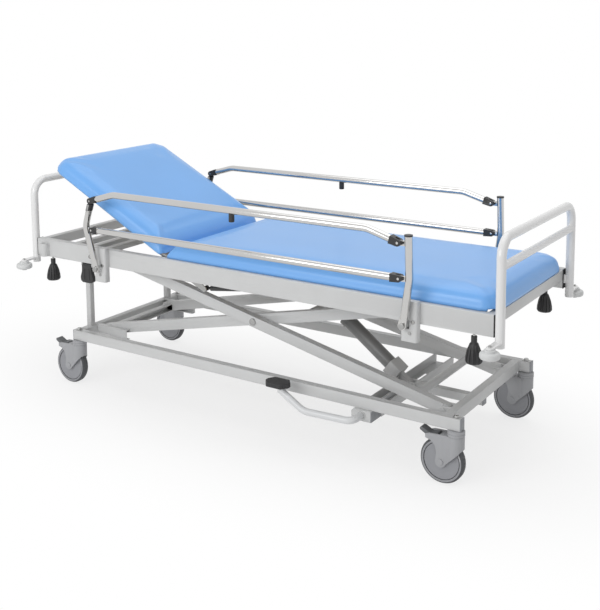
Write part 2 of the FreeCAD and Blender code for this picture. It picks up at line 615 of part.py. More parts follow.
# Foot pump, drawn along +X from its pivot and then turned towards the inner arms
def along_pump(shape):
    run = PUMP_ROD_X - PUMP_PIVOT_X
    rise = PUMP_ROD_Z - PUMP_PIVOT_Z
    shape.rotate(V(0, 0, 0), V(0, 1, 0), -math.degrees(math.atan2(rise, run)))
    shape.translate(V(PUMP_PIVOT_X, 0, PUMP_PIVOT_Z))
    return shape


def pump_cylinder():
    eye = rod_y(14, 0, 0, -PUMP_EYE_HALF, PUMP_EYE_HALF)
    neck = box(0, PUMP_BLOCK_START + 1, -PUMP_EYE_HALF, PUMP_EYE_HALF, -9, 9)
    block = box(PUMP_BLOCK_START, PUMP_BLOCK_END, -32, 32, -27, 27)
    block = rounded(block, 5, lambda e: e.BoundBox.XLength > 10)
    tube = rod(PUMP_TUBE_RADIUS, (PUMP_BLOCK_END - 1, 0, 0), (PUMP_TUBE_END, 0, 0))
    collar = rod(PUMP_TUBE_RADIUS + 3, (PUMP_TUBE_END - 22, 0, 0), (PUMP_TUBE_END, 0, 0))
    body = fuse(eye, neck, block, tube, collar)
    body = body.cut(rod(PUMP_BORE_RADIUS, (PUMP_BLOCK_END + 4, 0, 0), (PUMP_TUBE_END - 6, 0, 0)))
    slot = PUMP_ROD_RADIUS + 1
    mouth = box(PUMP_TUBE_END - 7, PUMP_TUBE_END + 1, -slot, slot, -PUMP_ROD_SIDE_PLAY, PUMP_ROD_SIDE_PLAY)
    for z in (-PUMP_ROD_SIDE_PLAY, PUMP_ROD_SIDE_PLAY):
        mouth = mouth.fuse(rod(slot, (PUMP_TUBE_END - 7, 0, z), (PUMP_TUBE_END + 1, 0, z)))
    body = body.cut(mouth).cut(rod_y(PUMP_PIN_RADIUS + RUN, 0, 0, -40, 40))
    screw_face = rod(5, (70, 32, 10), (70, 36, 10))
    return along_pump(body.fuse(screw_face))


def pump_rod():
    length = math.hypot(PUMP_ROD_X - PUMP_PIVOT_X, PUMP_ROD_Z - PUMP_PIVOT_Z)
    eye = rod_y(LIFT_TUBE_RADIUS + 8, length, 0, -15, 15)
    stem = rod(PUMP_ROD_RADIUS, (PUMP_BLOCK_END + 24, 0, 0), (length - 10, 0, 0))
    body = fuse(eye, stem)
    return along_pump(body.cut(rod_y(LIFT_TUBE_RADIUS + RUN, length, 0, -20, 20)))


# Foot pedal
def pedal_lever():
    y_face = -BASE_HALF_WIDTH - 12 - 3 - 1.5
    points = [(PEDAL_X, y_face, PEDAL_Z), (PEDAL_X, -PEDAL_REACH_Y, PEDAL_Z - 4),
              (PEDAL_X - 190, -PEDAL_REACH_Y, PEDAL_Z - 10), (PEDAL_PAD_X + 30, -PEDAL_REACH_Y, PEDAL_PAD_Z - 34),
              (PEDAL_PAD_X + 6, -PEDAL_REACH_Y, PEDAL_PAD_Z - PEDAL_PAD_HEIGHT / 2 - 12)]
    tube = tube_path(points, (30, 70, 20), PEDAL_TUBE_RADIUS)
    shaft = rod_y(PEDAL_SHAFT_RADIUS, PEDAL_X, PEDAL_Z, y_face - 2, -PUMP_EYE_HALF - LUG_THICKNESS - 6)
    plate = box(PEDAL_PAD_X - 30, PEDAL_PAD_X + 30, -PEDAL_REACH_Y - 20, -PEDAL_REACH_Y + 20,
                PEDAL_PAD_Z - PEDAL_PAD_HEIGHT / 2 - 4, PEDAL_PAD_Z - PEDAL_PAD_HEIGHT / 2)
    return fuse(tube, shaft, plate)


def pedal_pad():
    half_l = PEDAL_PAD_LENGTH / 2
    half_w = PEDAL_PAD_WIDTH / 2
    z = PEDAL_PAD_Z - PEDAL_PAD_HEIGHT / 2
    outline = [(-half_l, -half_w * 0.25), (-half_l * 0.62, -half_w), (half_l * 0.62, -half_w),
               (half_l, -half_w * 0.25), (half_l, half_w * 0.25), (half_l * 0.62, half_w),
               (-half_l * 0.62, half_w), (-half_l, half_w * 0.25)]
    corners = [V(PEDAL_PAD_X + x, -PEDAL_REACH_Y + y, z) for x, y in outline]
    corners.append(corners[0])
    pad = Part.Face(Part.makePolygon(corners)).extrude(V(0, 0, PEDAL_PAD_HEIGHT))
    pad = rounded(pad, 8, is_upright)
    return rounded(pad, 4, lambda e: e.BoundBox.ZMin > z + PEDAL_PAD_HEIGHT - 0.1)


# Bed frame
def side_member(sign):
    z = (MEMBER_TOP + MEMBER_BOTTOM) / 2
    body = open_tube_x(-FRAME_HALF_LENGTH, FRAME_HALF_LENGTH, MEMBER_Y, z, MEMBER_WIDTH, MEMBER_HEIGHT, MEMBER_WALL)
    for _, end in ENDS:
        x = end * (FRAME_HALF_LENGTH - KNOB_INSET)
        body = body.cut(rod(KNOB_STEM_RADIUS + RUN, (x, MEMBER_Y, MEMBER_BOTTOM - 1),
                            (x, MEMBER_Y, MEMBER_BOTTOM + MEMBER_WALL + 1)))
    y = FRAME_HALF_WIDTH + SOCKET_BORE_RADIUS + 2
    low = MEMBER_BOTTOM + 4
    high = low + SOCKET_LENGTH
    socket = rod(SOCKET_RADIUS, (SOCKET_X, y, low), (SOCKET_X, y, high))
    socket = socket.fuse(box(SOCKET_X - SOCKET_RADIUS, SOCKET_X + SOCKET_RADIUS, FRAME_HALF_WIDTH, y, low, high))
    socket = socket.common(box(SOCKET_X - 50, SOCKET_X + 50, FRAME_HALF_WIDTH, y + 50, low, high))
    socket = socket.cut(rod(SOCKET_BORE_RADIUS, (SOCKET_X, y, low - 1), (SOCKET_X, y, high + 1)))
    return on_side(body.fuse(socket).removeSplitter(), sign)


HEAD_CROSSES = (HEAD_CROSS_X, HEAD_CROSS_X + 90.0, HEAD_CROSS_X + 163.0)
FOOT_CROSSES = (GAS_FOOT_X + 60.0,)
HINGE_TUBE_HEIGHT = 30.0
LUG_CROSS_X = LIFT_PIVOT_X


def platform_cross_tubes():
    tubes = []
    middle = (CROSS_TOP + CROSS_BOTTOM) / 2
    for x in HEAD_CROSSES + FOOT_CROSSES + (LUG_CROSS_X,):
        tubes.append(open_tube_y(-MEMBER_INNER_Y, MEMBER_INNER_Y, x, middle, CROSS_TUBE_WIDTH,
                                 CROSS_TUBE_HEIGHT, MEMBER_WALL))
    for _, end in ENDS:
        x = end * (FRAME_HALF_LENGTH - CROSS_TUBE_WIDTH / 2)
        tubes.append(open_tube_y(-MEMBER_INNER_Y, MEMBER_INNER_Y, x, CROSS_TOP - END_TUBE_HEIGHT / 2,
                                 CROSS_TUBE_WIDTH, END_TUBE_HEIGHT, MEMBER_WALL))
    tubes.append(open_tube_y(-MEMBER_INNER_Y, MEMBER_INNER_Y, hinge_tube_x(), hinge_tube_top() - HINGE_TUBE_HEIGHT / 2,
                             CROSS_TUBE_WIDTH, HINGE_TUBE_HEIGHT, MEMBER_WALL))
    return group(*tubes)


def hinge_tube_x():
    return HINGE_X - LEVER_HALF_HEIGHT - 2 - CROSS_TUBE_WIDTH / 2


def hinge_tube_top():
    return HINGE_Z - 5


def arm_platform_mounts():
    pieces = []
    roller_y = OUTER_ARM_FACE + 1
    web_y = roller_y + ROLLER_WIDTH + 2 + TRACK_WALL
    track_top = LIFT_HIGH_Z + ROLLER_RADIUS + ROLLER_CLEARANCE + TRACK_WALL
    x0 = LIFT_SLIDE_X - ROLLER_RADIUS - 6
    x1 = LIFT_SLIDE_X + LIFT_TRAVEL + ROLLER_RADIUS + 22
    for _, sign in SIDES:
        slide = track(x0, x1, web_y, roller_y, LIFT_HIGH_Z)
        slide = slide.fuse(box(x0, x1, web_y, web_y - TRACK_WALL, track_top - 1, CROSS_BOTTOM))
        pieces.append(on_side(slide.removeSplitter(), sign))
        for y in (INNER_ARM_FACE + 1, INNER_ARM_FACE - INNER_ARM_WIDTH - 1 - LUG_THICKNESS):
            lug = plate_xz([(LIFT_PIVOT_X, LIFT_HIGH_Z, 15), (LIFT_PIVOT_X, LIFT_HIGH_Z + 4, 15)], y, y + LUG_THICKNESS)
            lug = lug.fuse(box(LIFT_PIVOT_X - 15, LIFT_PIVOT_X + 15, y, y + LUG_THICKNESS, LIFT_HIGH_Z + 4, CROSS_BOTTOM))
            lug = lug.removeSplitter().cut(rod_y(ARM_PIN_RADIUS + RUN, LIFT_PIVOT_X, LIFT_HIGH_Z, y - 1,
                                                 y + LUG_THICKNESS + 1))
            pieces.append(on_side(lug, sign))
    return group(*pieces, gas_spring_bracket(), handle_bracket())


def side_rail_brackets():
    """C-shaped brackets on the outside of the bed frame; each post's pivot stud sits on the plate."""
    brackets = []
    y0 = FRAME_HALF_WIDTH
    y1 = y0 + BRACKET_DEPTH
    half = BRACKET_LENGTH / 2
    for pivot_x, shift in ((HEAD_POST_X, 0.0), (FOOT_POST_X, FOOT_BRACKET_SHIFT)):
        x = pivot_x + shift
        body = box(x - half, x + half, y0, y1, BRACKET_BOTTOM_Z, BRACKET_TOP_Z)
        body = rounded(body, 9, lambda e: is_upright(e) and e.BoundBox.YMax > y1 - 0.1)
        body = body.cut(box(x - half - 1, x + half - BRACKET_BAR, y0 + BRACKET_WALL, y1 + 1,
                            BRACKET_BOTTOM_Z + 2 * BRACKET_WALL + 34, BRACKET_TOP_Z + 1))
        plate_y = y0 + BRACKET_WALL
        bolt = rod_y(POST_PIN_RADIUS, pivot_x, POST_PIVOT_Z, plate_y, RAIL_PLANE_Y + TONGUE_THICKNESS / 2 + 1)
        spacer = rod_y(11, pivot_x, POST_PIVOT_Z, plate_y, RAIL_PLANE_Y - TONGUE_THICKNESS / 2 - GAP)
        head = rod_y(10, pivot_x, POST_PIVOT_Z, RAIL_PLANE_Y + TONGUE_THICKNESS / 2 + GAP,
                     RAIL_PLANE_Y + TONGUE_THICKNESS / 2 + 6)
        screw = rod_y(5, x + 4, POST_PIVOT_Z - 26, y1 - 1, y1 + 4)
        cap_screw = rod_y(6, x + half - BRACKET_BAR / 2, POST_PIVOT_Z + 12, y1 - 1, y1 + 4)
        brackets.append(fuse(body, screw, cap_screw))
        brackets.append(fuse(bolt, spacer, head))
    pieces = []
    for _, sign in SIDES:
        pieces.extend(on_side(b, sign) for b in brackets)
    return group(*pieces)


KNUCKLE_YS = (-190.0, -80.0, 80.0, 190.0)


def backrest_hinge_leaves():
    pieces = []
    tube_face = hinge_tube_x() + CROSS_TUBE_WIDTH / 2
    for y in KNUCKLE_YS:
        y0 = y - KNUCKLE_WIDTH / 2
        y1 = y0 + KNUCKLE_WIDTH
        knuckle = rod_y(KNUCKLE_RADIUS, HINGE_X, HINGE_Z, y0, y1)
        leaf = box(tube_face, HINGE_X + 2, y0, y1, HINGE_Z - KNUCKLE_RADIUS - 12, HINGE_Z - 2)
        pin = rod_y(HINGE_PIN_RADIUS, HINGE_X, HINGE_Z, y0, y1 + KNUCKLE_WIDTH + 2)
        pieces.append(fuse(knuckle, leaf, pin))
    return group(*pieces)


def rounded_pad(end_x):
    """Pad from the hinge to end_x; its hinge end leans back so that the raised pads don't meet."""
    away = 1 if end_x > HINGE_X else -1
    lean = math.tan(math.radians(PAD_SLANT))
    low, high = MEMBER_TOP + GAP, PAD_BOTTOM + PAD_THICKNESS
    outline = [(HINGE_X + away * ((z - HINGE_Z) * lean + 0.5), z) for z in (low, high)]
    outline += [(end_x, high), (end_x, low)]
    corners = [V(x, -PAD_HALF_WIDTH, z) for x, z in outline]
    corners.append(corners[0])
    pad = Part.Face(Part.makePolygon(corners)).extrude(V(0, 2 * PAD_HALF_WIDTH, 0))
    pad = rounded(pad, PAD_CORNER, lambda e: is_upright(e) and abs(e.BoundBox.XMin - end_x) < 0.1)
    pad = rounded(pad, PAD_EDGE, lambda e: e.BoundBox.ZLength < 0.1)
    inside = PAD_HALF_WIDTH - PAD_RIM
    return pad.cut(box(HINGE_X - away * 60, end_x - away * PAD_RIM, -inside, inside, low - 1, PAD_BOTTOM))


def leg_board():
    return box(HINGE_X + 12, LEG_PAD_END_X - PAD_RIM - 1, -LEG_BOARD_HALF_WIDTH, LEG_BOARD_HALF_WIDTH, BOARD_BOTTOM,
               BOARD_BOTTOM + BOARD_THICKNESS)


def leg_pad():
    return rounded_pad(LEG_PAD_END_X)


def raised(shape):
    shape.rotate(V(HINGE_X, 0, HINGE_Z), V(0, 1, 0), BACKREST_ANGLE)
    return shape


def backrest_frame():
    """Board, moving hinge knuckles and the lever plate that reaches past the hinge to the gas spring."""
    top = BOARD_BOTTOM + BOARD_THICKNESS
    low = BOARD_BOTTOM + GAP
    body = box(HINGE_X - BACKREST_LENGTH + PAD_RIM + 1, HINGE_X - 10, -BOARD_HALF_WIDTH, BOARD_HALF_WIDTH, low, top)
    for y in KNUCKLE_YS:
        y0 = y + KNUCKLE_WIDTH / 2 + 1
        y1 = y0 + KNUCKLE_WIDTH
        knuckle = rod_y(KNUCKLE_RADIUS, HINGE_X, HINGE_Z, y0, y1)
        leaf = box(HINGE_X - 24, HINGE_X, y0, y1, HINGE_Z + 1, low)
        knuckle = knuckle.fuse(leaf).cut(rod_y(HINGE_PIN_RADIUS + RUN, HINGE_X, HINGE_Z, y0 - 1, y1 + 1))
        body = body.fuse(knuckle)
    y0 = BOARD_HALF_WIDTH
    y1 = y0 + LEVER_THICKNESS
    far_x = HINGE_X + LEVER_LENGTH
    arm = plate_xz([(HINGE_X, HINGE_Z, LEVER_HALF_HEIGHT), (far_x, HINGE_Z, LEVER_HALF_HEIGHT - 0.1)], y0, y1)
    strip = box(HINGE_X - 170, HINGE_X, y0, y1, HINGE_Z - 3, top)
    bolt = rod_y(GAS_BOLT_RADIUS, far_x, HINGE_Z, GAS_Y - GAS_EYE_WIDTH / 2 - 1, y0)
    bolt_head = rod_y(8, far_x, HINGE_Z, GAS_Y - GAS_EYE_WIDTH / 2 - 3.5, GAS_Y - GAS_EYE_WIDTH / 2 - 0.5)
    body = body.fuse(mirrored(fuse(arm, strip, bolt, bolt_head)))
    return raised(body.removeSplitter())


def backrest_pad():
    return raised(rounded_pad(HINGE_X - BACKREST_LENGTH))


def along_gas_spring(shape):
    """Drawn along +X from the lever's bolt, turned towards the bracket on the side member."""
    angle = math.degrees(math.atan2(GAS_FOOT_Z - LEVER_Z, GAS_FOOT_X - LEVER_X))
    shape.rotate(V(0, 0, 0), V(0, 1, 0), -angle)
    shape.translate(V(LEVER_X, -GAS_Y, LEVER_Z))
    return shape


def gas_spring_cylinder():
    half = GAS_EYE_WIDTH / 2
    eye = rod_y(GAS_EYE_RADIUS, 0, 0, -half, half)
    shank = rod(5, (4, 0, 0), (26, 0, 0))
    tube = rod(GAS_RADIUS, (24, 0, 0), (GAS_TUBE_LENGTH, 0, 0))
    body = fuse(eye, shank, tube)
    body = body.cut(rod(GAS_BORE_RADIUS, (34, 0, 0), (GAS_TUBE_LENGTH - 8, 0, 0)))
    body = body.cut(rod(GAS_ROD_RADIUS + RUN, (GAS_TUBE_LENGTH - 9, 0, 0), (GAS_TUBE_LENGTH + 1, 0, 0)))
    return along_gas_spring(body.cut(rod_y(GAS_BOLT_RADIUS + RUN, 0, 0, -20, 20)))


def gas_spring_rod():
    """Rod with its stud, which reaches outwards into the bracket."""
    half = GAS_EYE_WIDTH / 2
    length = math.hypot(GAS_FOOT_X - LEVER_X, GAS_FOOT_Z - LEVER_Z)
    stem = rod(GAS_ROD_RADIUS, (GAS_TUBE_LENGTH - 95, 0, 0), (length - 6, 0, 0))
    eye = rod_y(GAS_EYE_RADIUS - 1, length, 0, -half, half)
    stud = rod_y(GAS_BOLT_RADIUS, length, 0, -(MEMBER_INNER_Y - GAS_Y - 2), 0)
    return along_gas_spring(fuse(stem, eye, stud))


def gas_spring_bracket():
    y0 = -MEMBER_INNER_Y
    y1 = -(GAS_Y + GAS_EYE_WIDTH / 2 + 2)
    room = GAS_BOLT_RADIUS + 1
    rim = 7
    plate = box(GAS_FOOT_X - GAS_WINDOW_BACK - room - rim, GAS_FOOT_X + room + rim, y0, y1,
                GAS_FOOT_Z - room - rim, GAS_FOOT_Z + GAS_WINDOW_UP + room + 3)
    window = box(GAS_FOOT_X - GAS_WINDOW_BACK - room, GAS_FOOT_X + room, y0 - 1, y1 + 1,
                 GAS_FOOT_Z - room, GAS_FOOT_Z + GAS_WINDOW_UP + room)
    return plate.cut(window)


def member_end_plugs():
    """Black plugs in the side members' ends, each with a slot for the bow's peg."""
    plugs = []
    z = (MEMBER_TOP + MEMBER_BOTTOM) / 2
    for _, sign in SIDES:
        for _, end in ENDS:
            x = end * FRAME_HALF_LENGTH
            flange = box(x, x + end * PLUG_FLANGE, MEMBER_Y - MEMBER_WIDTH / 2, MEMBER_Y + MEMBER_WIDTH / 2,
                         MEMBER_BOTTOM, MEMBER_TOP)
            sleeve = box(x - end * 25, x, MEMBER_Y - MEMBER_WIDTH / 2 + MEMBER_WALL,
                         MEMBER_Y + MEMBER_WIDTH / 2 - MEMBER_WALL, MEMBER_BOTTOM + MEMBER_WALL, MEMBER_TOP - MEMBER_WALL)
            slot = box(x - end * 30, x + end * 10, MEMBER_Y - PEG_WIDTH / 2 - GAP, MEMBER_Y + PEG_WIDTH / 2 + GAP,
                       PEG_Z - PEG_HEIGHT / 2 - GAP, PEG_Z + PEG_HEIGHT / 2 + GAP)
            plugs.append(on_side(fuse(flange, sleeve).cut(slot), sign))
    return group(*plugs)


PEG_Z = MEMBER_BOTTOM + MEMBER_HEIGHT / 2


# Bows at the two ends, each plugged into the side members
def bow(end, with_mid_bar):
    x = end * BOW_X
    points = [(x, -BOW_HALF_WIDTH, BOW_BOTTOM_Z), (x, -BOW_HALF_WIDTH, BOW_TOP_Z),
              (x, BOW_HALF_WIDTH, BOW_TOP_Z), (x, BOW_HALF_WIDTH, BOW_BOTTOM_Z)]
    corners = (BOW_CORNER_RADIUS, BOW_CORNER_RADIUS)
    body = tube_path(points, corners, BOW_TUBE_RADIUS)
    hollow = tube_path(points, corners, BOW_TUBE_RADIUS - BOW_WALL)
    if with_mid_bar:
        body = body.fuse(rod_y(BOW_TUBE_RADIUS - 2, x, BOW_MID_Z, -BOW_HALF_WIDTH, BOW_HALF_WIDTH))
        hollow = hollow.fuse(rod_y(BOW_TUBE_RADIUS - 2 - BOW_WALL, x, BOW_MID_Z, -BOW_HALF_WIDTH, BOW_HALF_WIDTH))
    for _, sign in SIDES:
        peg = box(x - end * 8, end * (FRAME_HALF_LENGTH - PEG_LENGTH), MEMBER_Y - PEG_WIDTH / 2,
                  MEMBER_Y + PEG_WIDTH / 2, PEG_Z - PEG_HEIGHT / 2, PEG_Z + PEG_HEIGHT / 2)
        arm_z = BOW_BOTTOM_Z + BUMPER_ARM_UP
        axis_x = x + end * BUMPER_OUT_X
        reach = Part.makePolygon([V(x, BOW_HALF_WIDTH, arm_z), V(axis_x, BUMPER_Y, arm_z)])
        along = (reach.Vertexes[1].Point - reach.Vertexes[0].Point).normalize()
        across = V(-along.y, along.x, 0) * 12
        start, stop = V(x, BOW_HALF_WIDTH, arm_z), V(axis_x, BUMPER_Y, arm_z)
        outline = Part.makePolygon([start - across, stop - across, stop + across, start + across, start - across])
        arm = Part.Face(outline).extrude(V(0, 0, BUMPER_ARM_THICKNESS))
        arm = arm.fuse(rod(12, (axis_x, BUMPER_Y, arm_z), (axis_x, BUMPER_Y, arm_z + BUMPER_ARM_THICKNESS)))
        bottom = arm_z - BUMPER_HUB_HEIGHT - BUMPER_HEIGHT - 1
        bolt = rod(BUMPER_BOLT_RADIUS, (axis_x, BUMPER_Y, bottom - 6), (axis_x, BUMPER_Y, arm_z + BUMPER_ARM_THICKNESS + 5))
        nut = rod(9, (axis_x, BUMPER_Y, bottom - 6), (axis_x, BUMPER_Y, bottom))
        body = body.fuse(on_side(fuse(peg, arm, bolt, nut), sign))
    body = body.cut(hollow)
    for y in (-BOW_HALF_WIDTH, BOW_HALF_WIDTH):
        body = body.fuse(rod(BOW_TUBE_RADIUS - 0.5, (x, y, BOW_BOTTOM_Z - 1), (x, y, BOW_BOTTOM_Z + 3)))
    return body.removeSplitter()


def bumper(end, sign):
    axis = V(end * (BOW_X + BUMPER_OUT_X), BUMPER_Y, 0)
    top = BOW_BOTTOM_Z + BUMPER_ARM_UP - 0.5
    rim_top = top - BUMPER_HUB_HEIGHT
    rim_bottom = rim_top - BUMPER_HEIGHT
    bore = BUMPER_BOLT_RADIUS + RUN
    r = BUMPER_RADIUS
    profile = [(bore, rim_bottom), (r - 5, rim_bottom), (r - 1.5, rim_bottom + 2), (r, rim_bottom + 6),
               (r, rim_top - 6), (r - 1.5, rim_top - 2), (r - 5, rim_top), (BUMPER_HUB_RADIUS, rim_top),
               (BUMPER_HUB_RADIUS, top), (bore, top)]
    return on_side(revolved(profile, axis, "z"), sign)


def knob(end, sign):
    """Fluted bell-shaped knob on a threaded stem that clamps the bow's peg."""
    x = end * (FRAME_HALF_LENGTH - KNOB_INSET)
    axis = V(x, MEMBER_Y, 0)
    neck_top = MEMBER_BOTTOM - KNOB_STEM_SHOWN
    bell_top = neck_top - KNOB_NECK_HEIGHT
    bottom = bell_top - KNOB_HEIGHT
    r = KNOB_RADIUS
    profile = [(0, bottom), (r - 4, bottom), (r, bottom + 6), (r - 1, bottom + KNOB_HEIGHT * 0.3),
               (r * 0.82, bottom + KNOB_HEIGHT * 0.6), (r * 0.52, bottom + KNOB_HEIGHT * 0.92),
               (KNOB_NECK_RADIUS, bell_top), (KNOB_NECK_RADIUS, neck_top - 1), (KNOB_NECK_RADIUS - 1, neck_top),
               (0, neck_top)]
    body = revolved(profile, axis, "z")
    flute_r = 4.0
    for i in range(KNOB_FLUTES):
        turn = 2 * math.pi * i / KNOB_FLUTES
        low = axis + V((r + 1) * math.cos(turn), (r + 1) * math.sin(turn), bottom - 1)
        high = axis + V(r * 0.6 * math.cos(turn), r * 0.6 * math.sin(turn), bell_top + 4)
        body = body.cut(Part.makeCylinder(flute_r, (high - low).Length, low, high - low))
    stem = rod(KNOB_STEM_RADIUS, (x, MEMBER_Y, neck_top - 5), (x, MEMBER_Y, PEG_Z - PEG_HEIGHT / 2 - GAP))
    return on_side(body.fuse(stem), sign)


# Side rails: two posts and two bars on each side, a parallelogram
def post(pivot_x, outward):
    """Bent tube post with a flat lower eye and a lug for each bar joint."""
    y = RAIL_PLANE_Y
    mid = (pivot_x + MID_JOINT_X + outward * POST_BOW_OUT, POST_PIVOT_Z + MID_JOINT_Z)
    top = (pivot_x + TOP_JOINT_X + outward * POST_BOW_OUT, POST_PIVOT_Z + POST_TOP_Z)
    foot = (pivot_x + outward * 5, POST_PIVOT_Z + 22)
    body = tube_path([(foot[0], y, foot[1]), (mid[0], y, mid[1]), (top[0], y, top[1])], (60,), SIDE_TUBE_RADIUS)
    half = TONGUE_THICKNESS / 2
    eye = plate_xz([(pivot_x, POST_PIVOT_Z, 14), (foot[0] + outward * 2, foot[1] + 12, 12)], y - half, y + half)
    body = body.fuse(eye)
    for jx, jz in ((MID_JOINT_X, MID_JOINT_Z), (TOP_JOINT_X, TOP_JOINT_Z)):
        joint = (pivot_x + jx, POST_PIVOT_Z + jz)
        root = (pivot_x + jx + outward * POST_BOW_OUT, POST_PIVOT_Z + jz)
        lug = plate_xz([(joint[0], joint[1], 9), (root[0], root[1], 8)], y - half, y + half)
        pin = rod_y(JOINT_PIN_RADIUS, joint[0], joint[1], y - FITTING_RADIUS, y + FITTING_RADIUS)
        body = body.fuse(lug).fuse(pin)
    body = body.fuse(rod(SIDE_TUBE_RADIUS + 1, (top[0], y, top[1]), (top[0], y, top[1] + 5)))
    bore = rod_y(POST_PIN_RADIUS + RUN, pivot_x, POST_PIVOT_Z, y - 20, y + 20)
    return body.removeSplitter().cut(bore)


def bar_end(joint, towards, rise):
    """Fork on the end of a bar, round the post's lug: slotted at the joint, flat where the tube begins."""
    half = FITTING_RADIUS
    slot = TONGUE_THICKNESS / 2 + GAP
    body = plate_xz([(0, 0, FITTING_RADIUS - 2), (FITTING_LENGTH, 0, FITTING_RADIUS)], -half, half)
    body = body.common(box(-40, FITTING_LENGTH, -half, half, -40, 40))
    body = body.cut(box(-40, FITTING_RADIUS + 1, -slot, slot, -40, 40))
    body = body.cut(rod_y(JOINT_PIN_RADIUS + RUN, 0, 0, -40, 40))
    body.rotate(V(0, 0, 0), V(0, 1, 0), -rise)
    if towards < 0:
        body = body.mirror(V(0, 0, 0), V(1, 0, 0))
    body.translate(V(*joint))
    return body


def bar(pivot_offset_x, pivot_offset_z, run_z):
    """Tube between the forks of both posts; the top bar climbs from its forks to its level run."""
    y = RAIL_PLANE_Y
    z = POST_PIVOT_Z + pivot_offset_z
    x0 = HEAD_POST_X + pivot_offset_x
    x1 = FOOT_POST_X + pivot_offset_x
    rise = math.atan2(run_z - z, TOP_BAR_DROP_LENGTH)
    lead_x = FITTING_LENGTH * math.cos(rise)
    lead_z = FITTING_LENGTH * math.sin(rise)
    ends = group(bar_end((x0, y, z), 1, math.degrees(rise)), bar_end((x1, y, z), -1, math.degrees(rise)))
    first, last = (x0 + lead_x, y, z + lead_z), (x1 - lead_x, y, z + lead_z)
    if run_z == z:
        tube = rod(SIDE_TUBE_RADIUS, first, last).cut(rod(SIDE_TUBE_RADIUS - SIDE_TUBE_WALL, first, last))
        return group(tube, *ends.Solids)
    points = [first, (x0 + TOP_BAR_DROP_LENGTH, y, run_z), (x1 - TOP_BAR_DROP_LENGTH, y, run_z), last]
    tube = tube_path(points, (90, 90), SIDE_TUBE_RADIUS)
    tube = tube.fuse(rod(6, (BUFFER_X, y, run_z - SIDE_TUBE_RADIUS - 9), (BUFFER_X, y, run_z)))
    tube = tube.cut(tube_path(points, (90, 90), SIDE_TUBE_RADIUS - SIDE_TUBE_WALL))
    return group(tube, *ends.Solids)


def lower_bar():
    return bar(MID_JOINT_X, MID_JOINT_Z, POST_PIVOT_Z + MID_JOINT_Z)


def top_bar():
    return bar(TOP_JOINT_X, TOP_JOINT_Z, TOP_BAR_Z)


# Hand controls
def handle_pivot_z():
    return MEMBER_BOTTOM - HANDLE_PIVOT_DROP


def release_handle():
    """Black paddle under the left side member; pulled outwards, it frees the backrest."""
    half = HANDLE_LENGTH / 2
    y0 = HANDLE_Y - HANDLE_THICKNESS / 2
    top = handle_pivot_z()
    height = top - HANDLE_BOTTOM_Z
    outline = [(-half + 9, 0), (half - 9, 0), (half - 8, -height * 0.35), (half, -height * 0.72), (half - 2, -height + 6),
               (half - 12, -height), (-half + 12, -height), (-half + 2, -height + 6), (-half, -height * 0.72),
               (-half + 8, -height * 0.35)]
    corners = [V(HANDLE_X + x, y0, top + z) for x, z in outline]
    corners.append(corners[0])
    body = Part.Face(Part.makePolygon(corners)).extrude(V(0, HANDLE_THICKNESS, 0))
    body = body.common(box(HANDLE_X - half, HANDLE_X + half, y0, y0 + HANDLE_THICKNESS, top - height, top))
    knuckle = rod(HANDLE_KNUCKLE_RADIUS, (HANDLE_X - half + 9, HANDLE_Y, top), (HANDLE_X + half - 9, HANDLE_Y, top))
    body = body.fuse(knuckle).removeSplitter()
    for x in (-0.24, 0.24):
        body = body.fuse(rod(3.5, (HANDLE_X + x * half * 1.6, y0 + HANDLE_THICKNESS - 1, top - height + 12),
                             (HANDLE_X + x * half * 1.6, y0 + HANDLE_THICKNESS - 1, top - 14)))
    bore = rod(HANDLE_PIN_RADIUS + RUN, (HANDLE_X - half, HANDLE_Y, top), (HANDLE_X + half, HANDLE_Y, top))
    return mirrored(body.cut(bore))


def handle_bracket():
    """Two ears under the side member and the pin that the paddle swings on."""
    half = HANDLE_LENGTH / 2
    z = handle_pivot_z()
    ears = []
    for side in (-1, 1):
        x0 = HANDLE_X + side * (half - 8)
        x1 = HANDLE_X + side * (half - 4)
        ear = rod(6, (x0, HANDLE_Y, z), (x1, HANDLE_Y, z))
        ears.append(ear.fuse(box(x0, x1, HANDLE_Y - 6, HANDLE_Y + 6, z, MEMBER_BOTTOM)))
    pin = rod(HANDLE_PIN_RADIUS, (HANDLE_X - half + 6, HANDLE_Y, z), (HANDLE_X + half - 6, HANDLE_Y, z))
    return mirrored(fuse(*ears, pin))


def rail_latch(sign):
    """Sprung pull pin that locks the head post of a side rail."""
    y0 = FRAME_HALF_WIDTH
    pin = rod_y(LATCH_PIN_RADIUS, LATCH_X, LATCH_Z, y0 + 2, y0 + 26)
    head = rod_y(8, LATCH_X, LATCH_Z, y0 + 17, y0 + 24)
    return on_side(fuse(pin, head), sign)


def latch_seats():
    seats = []
    for _, sign in SIDES:
        seat = rod_y(9, LATCH_X, LATCH_Z, FRAME_HALF_WIDTH, FRAME_HALF_WIDTH + 16)
        seat = seat.cut(rod_y(LATCH_PIN_RADIUS + RUN, LATCH_X, LATCH_Z, FRAME_HALF_WIDTH + 1, FRAME_HALF_WIDTH + 20))
        seats.append(on_side(seat, sign))
    return seats


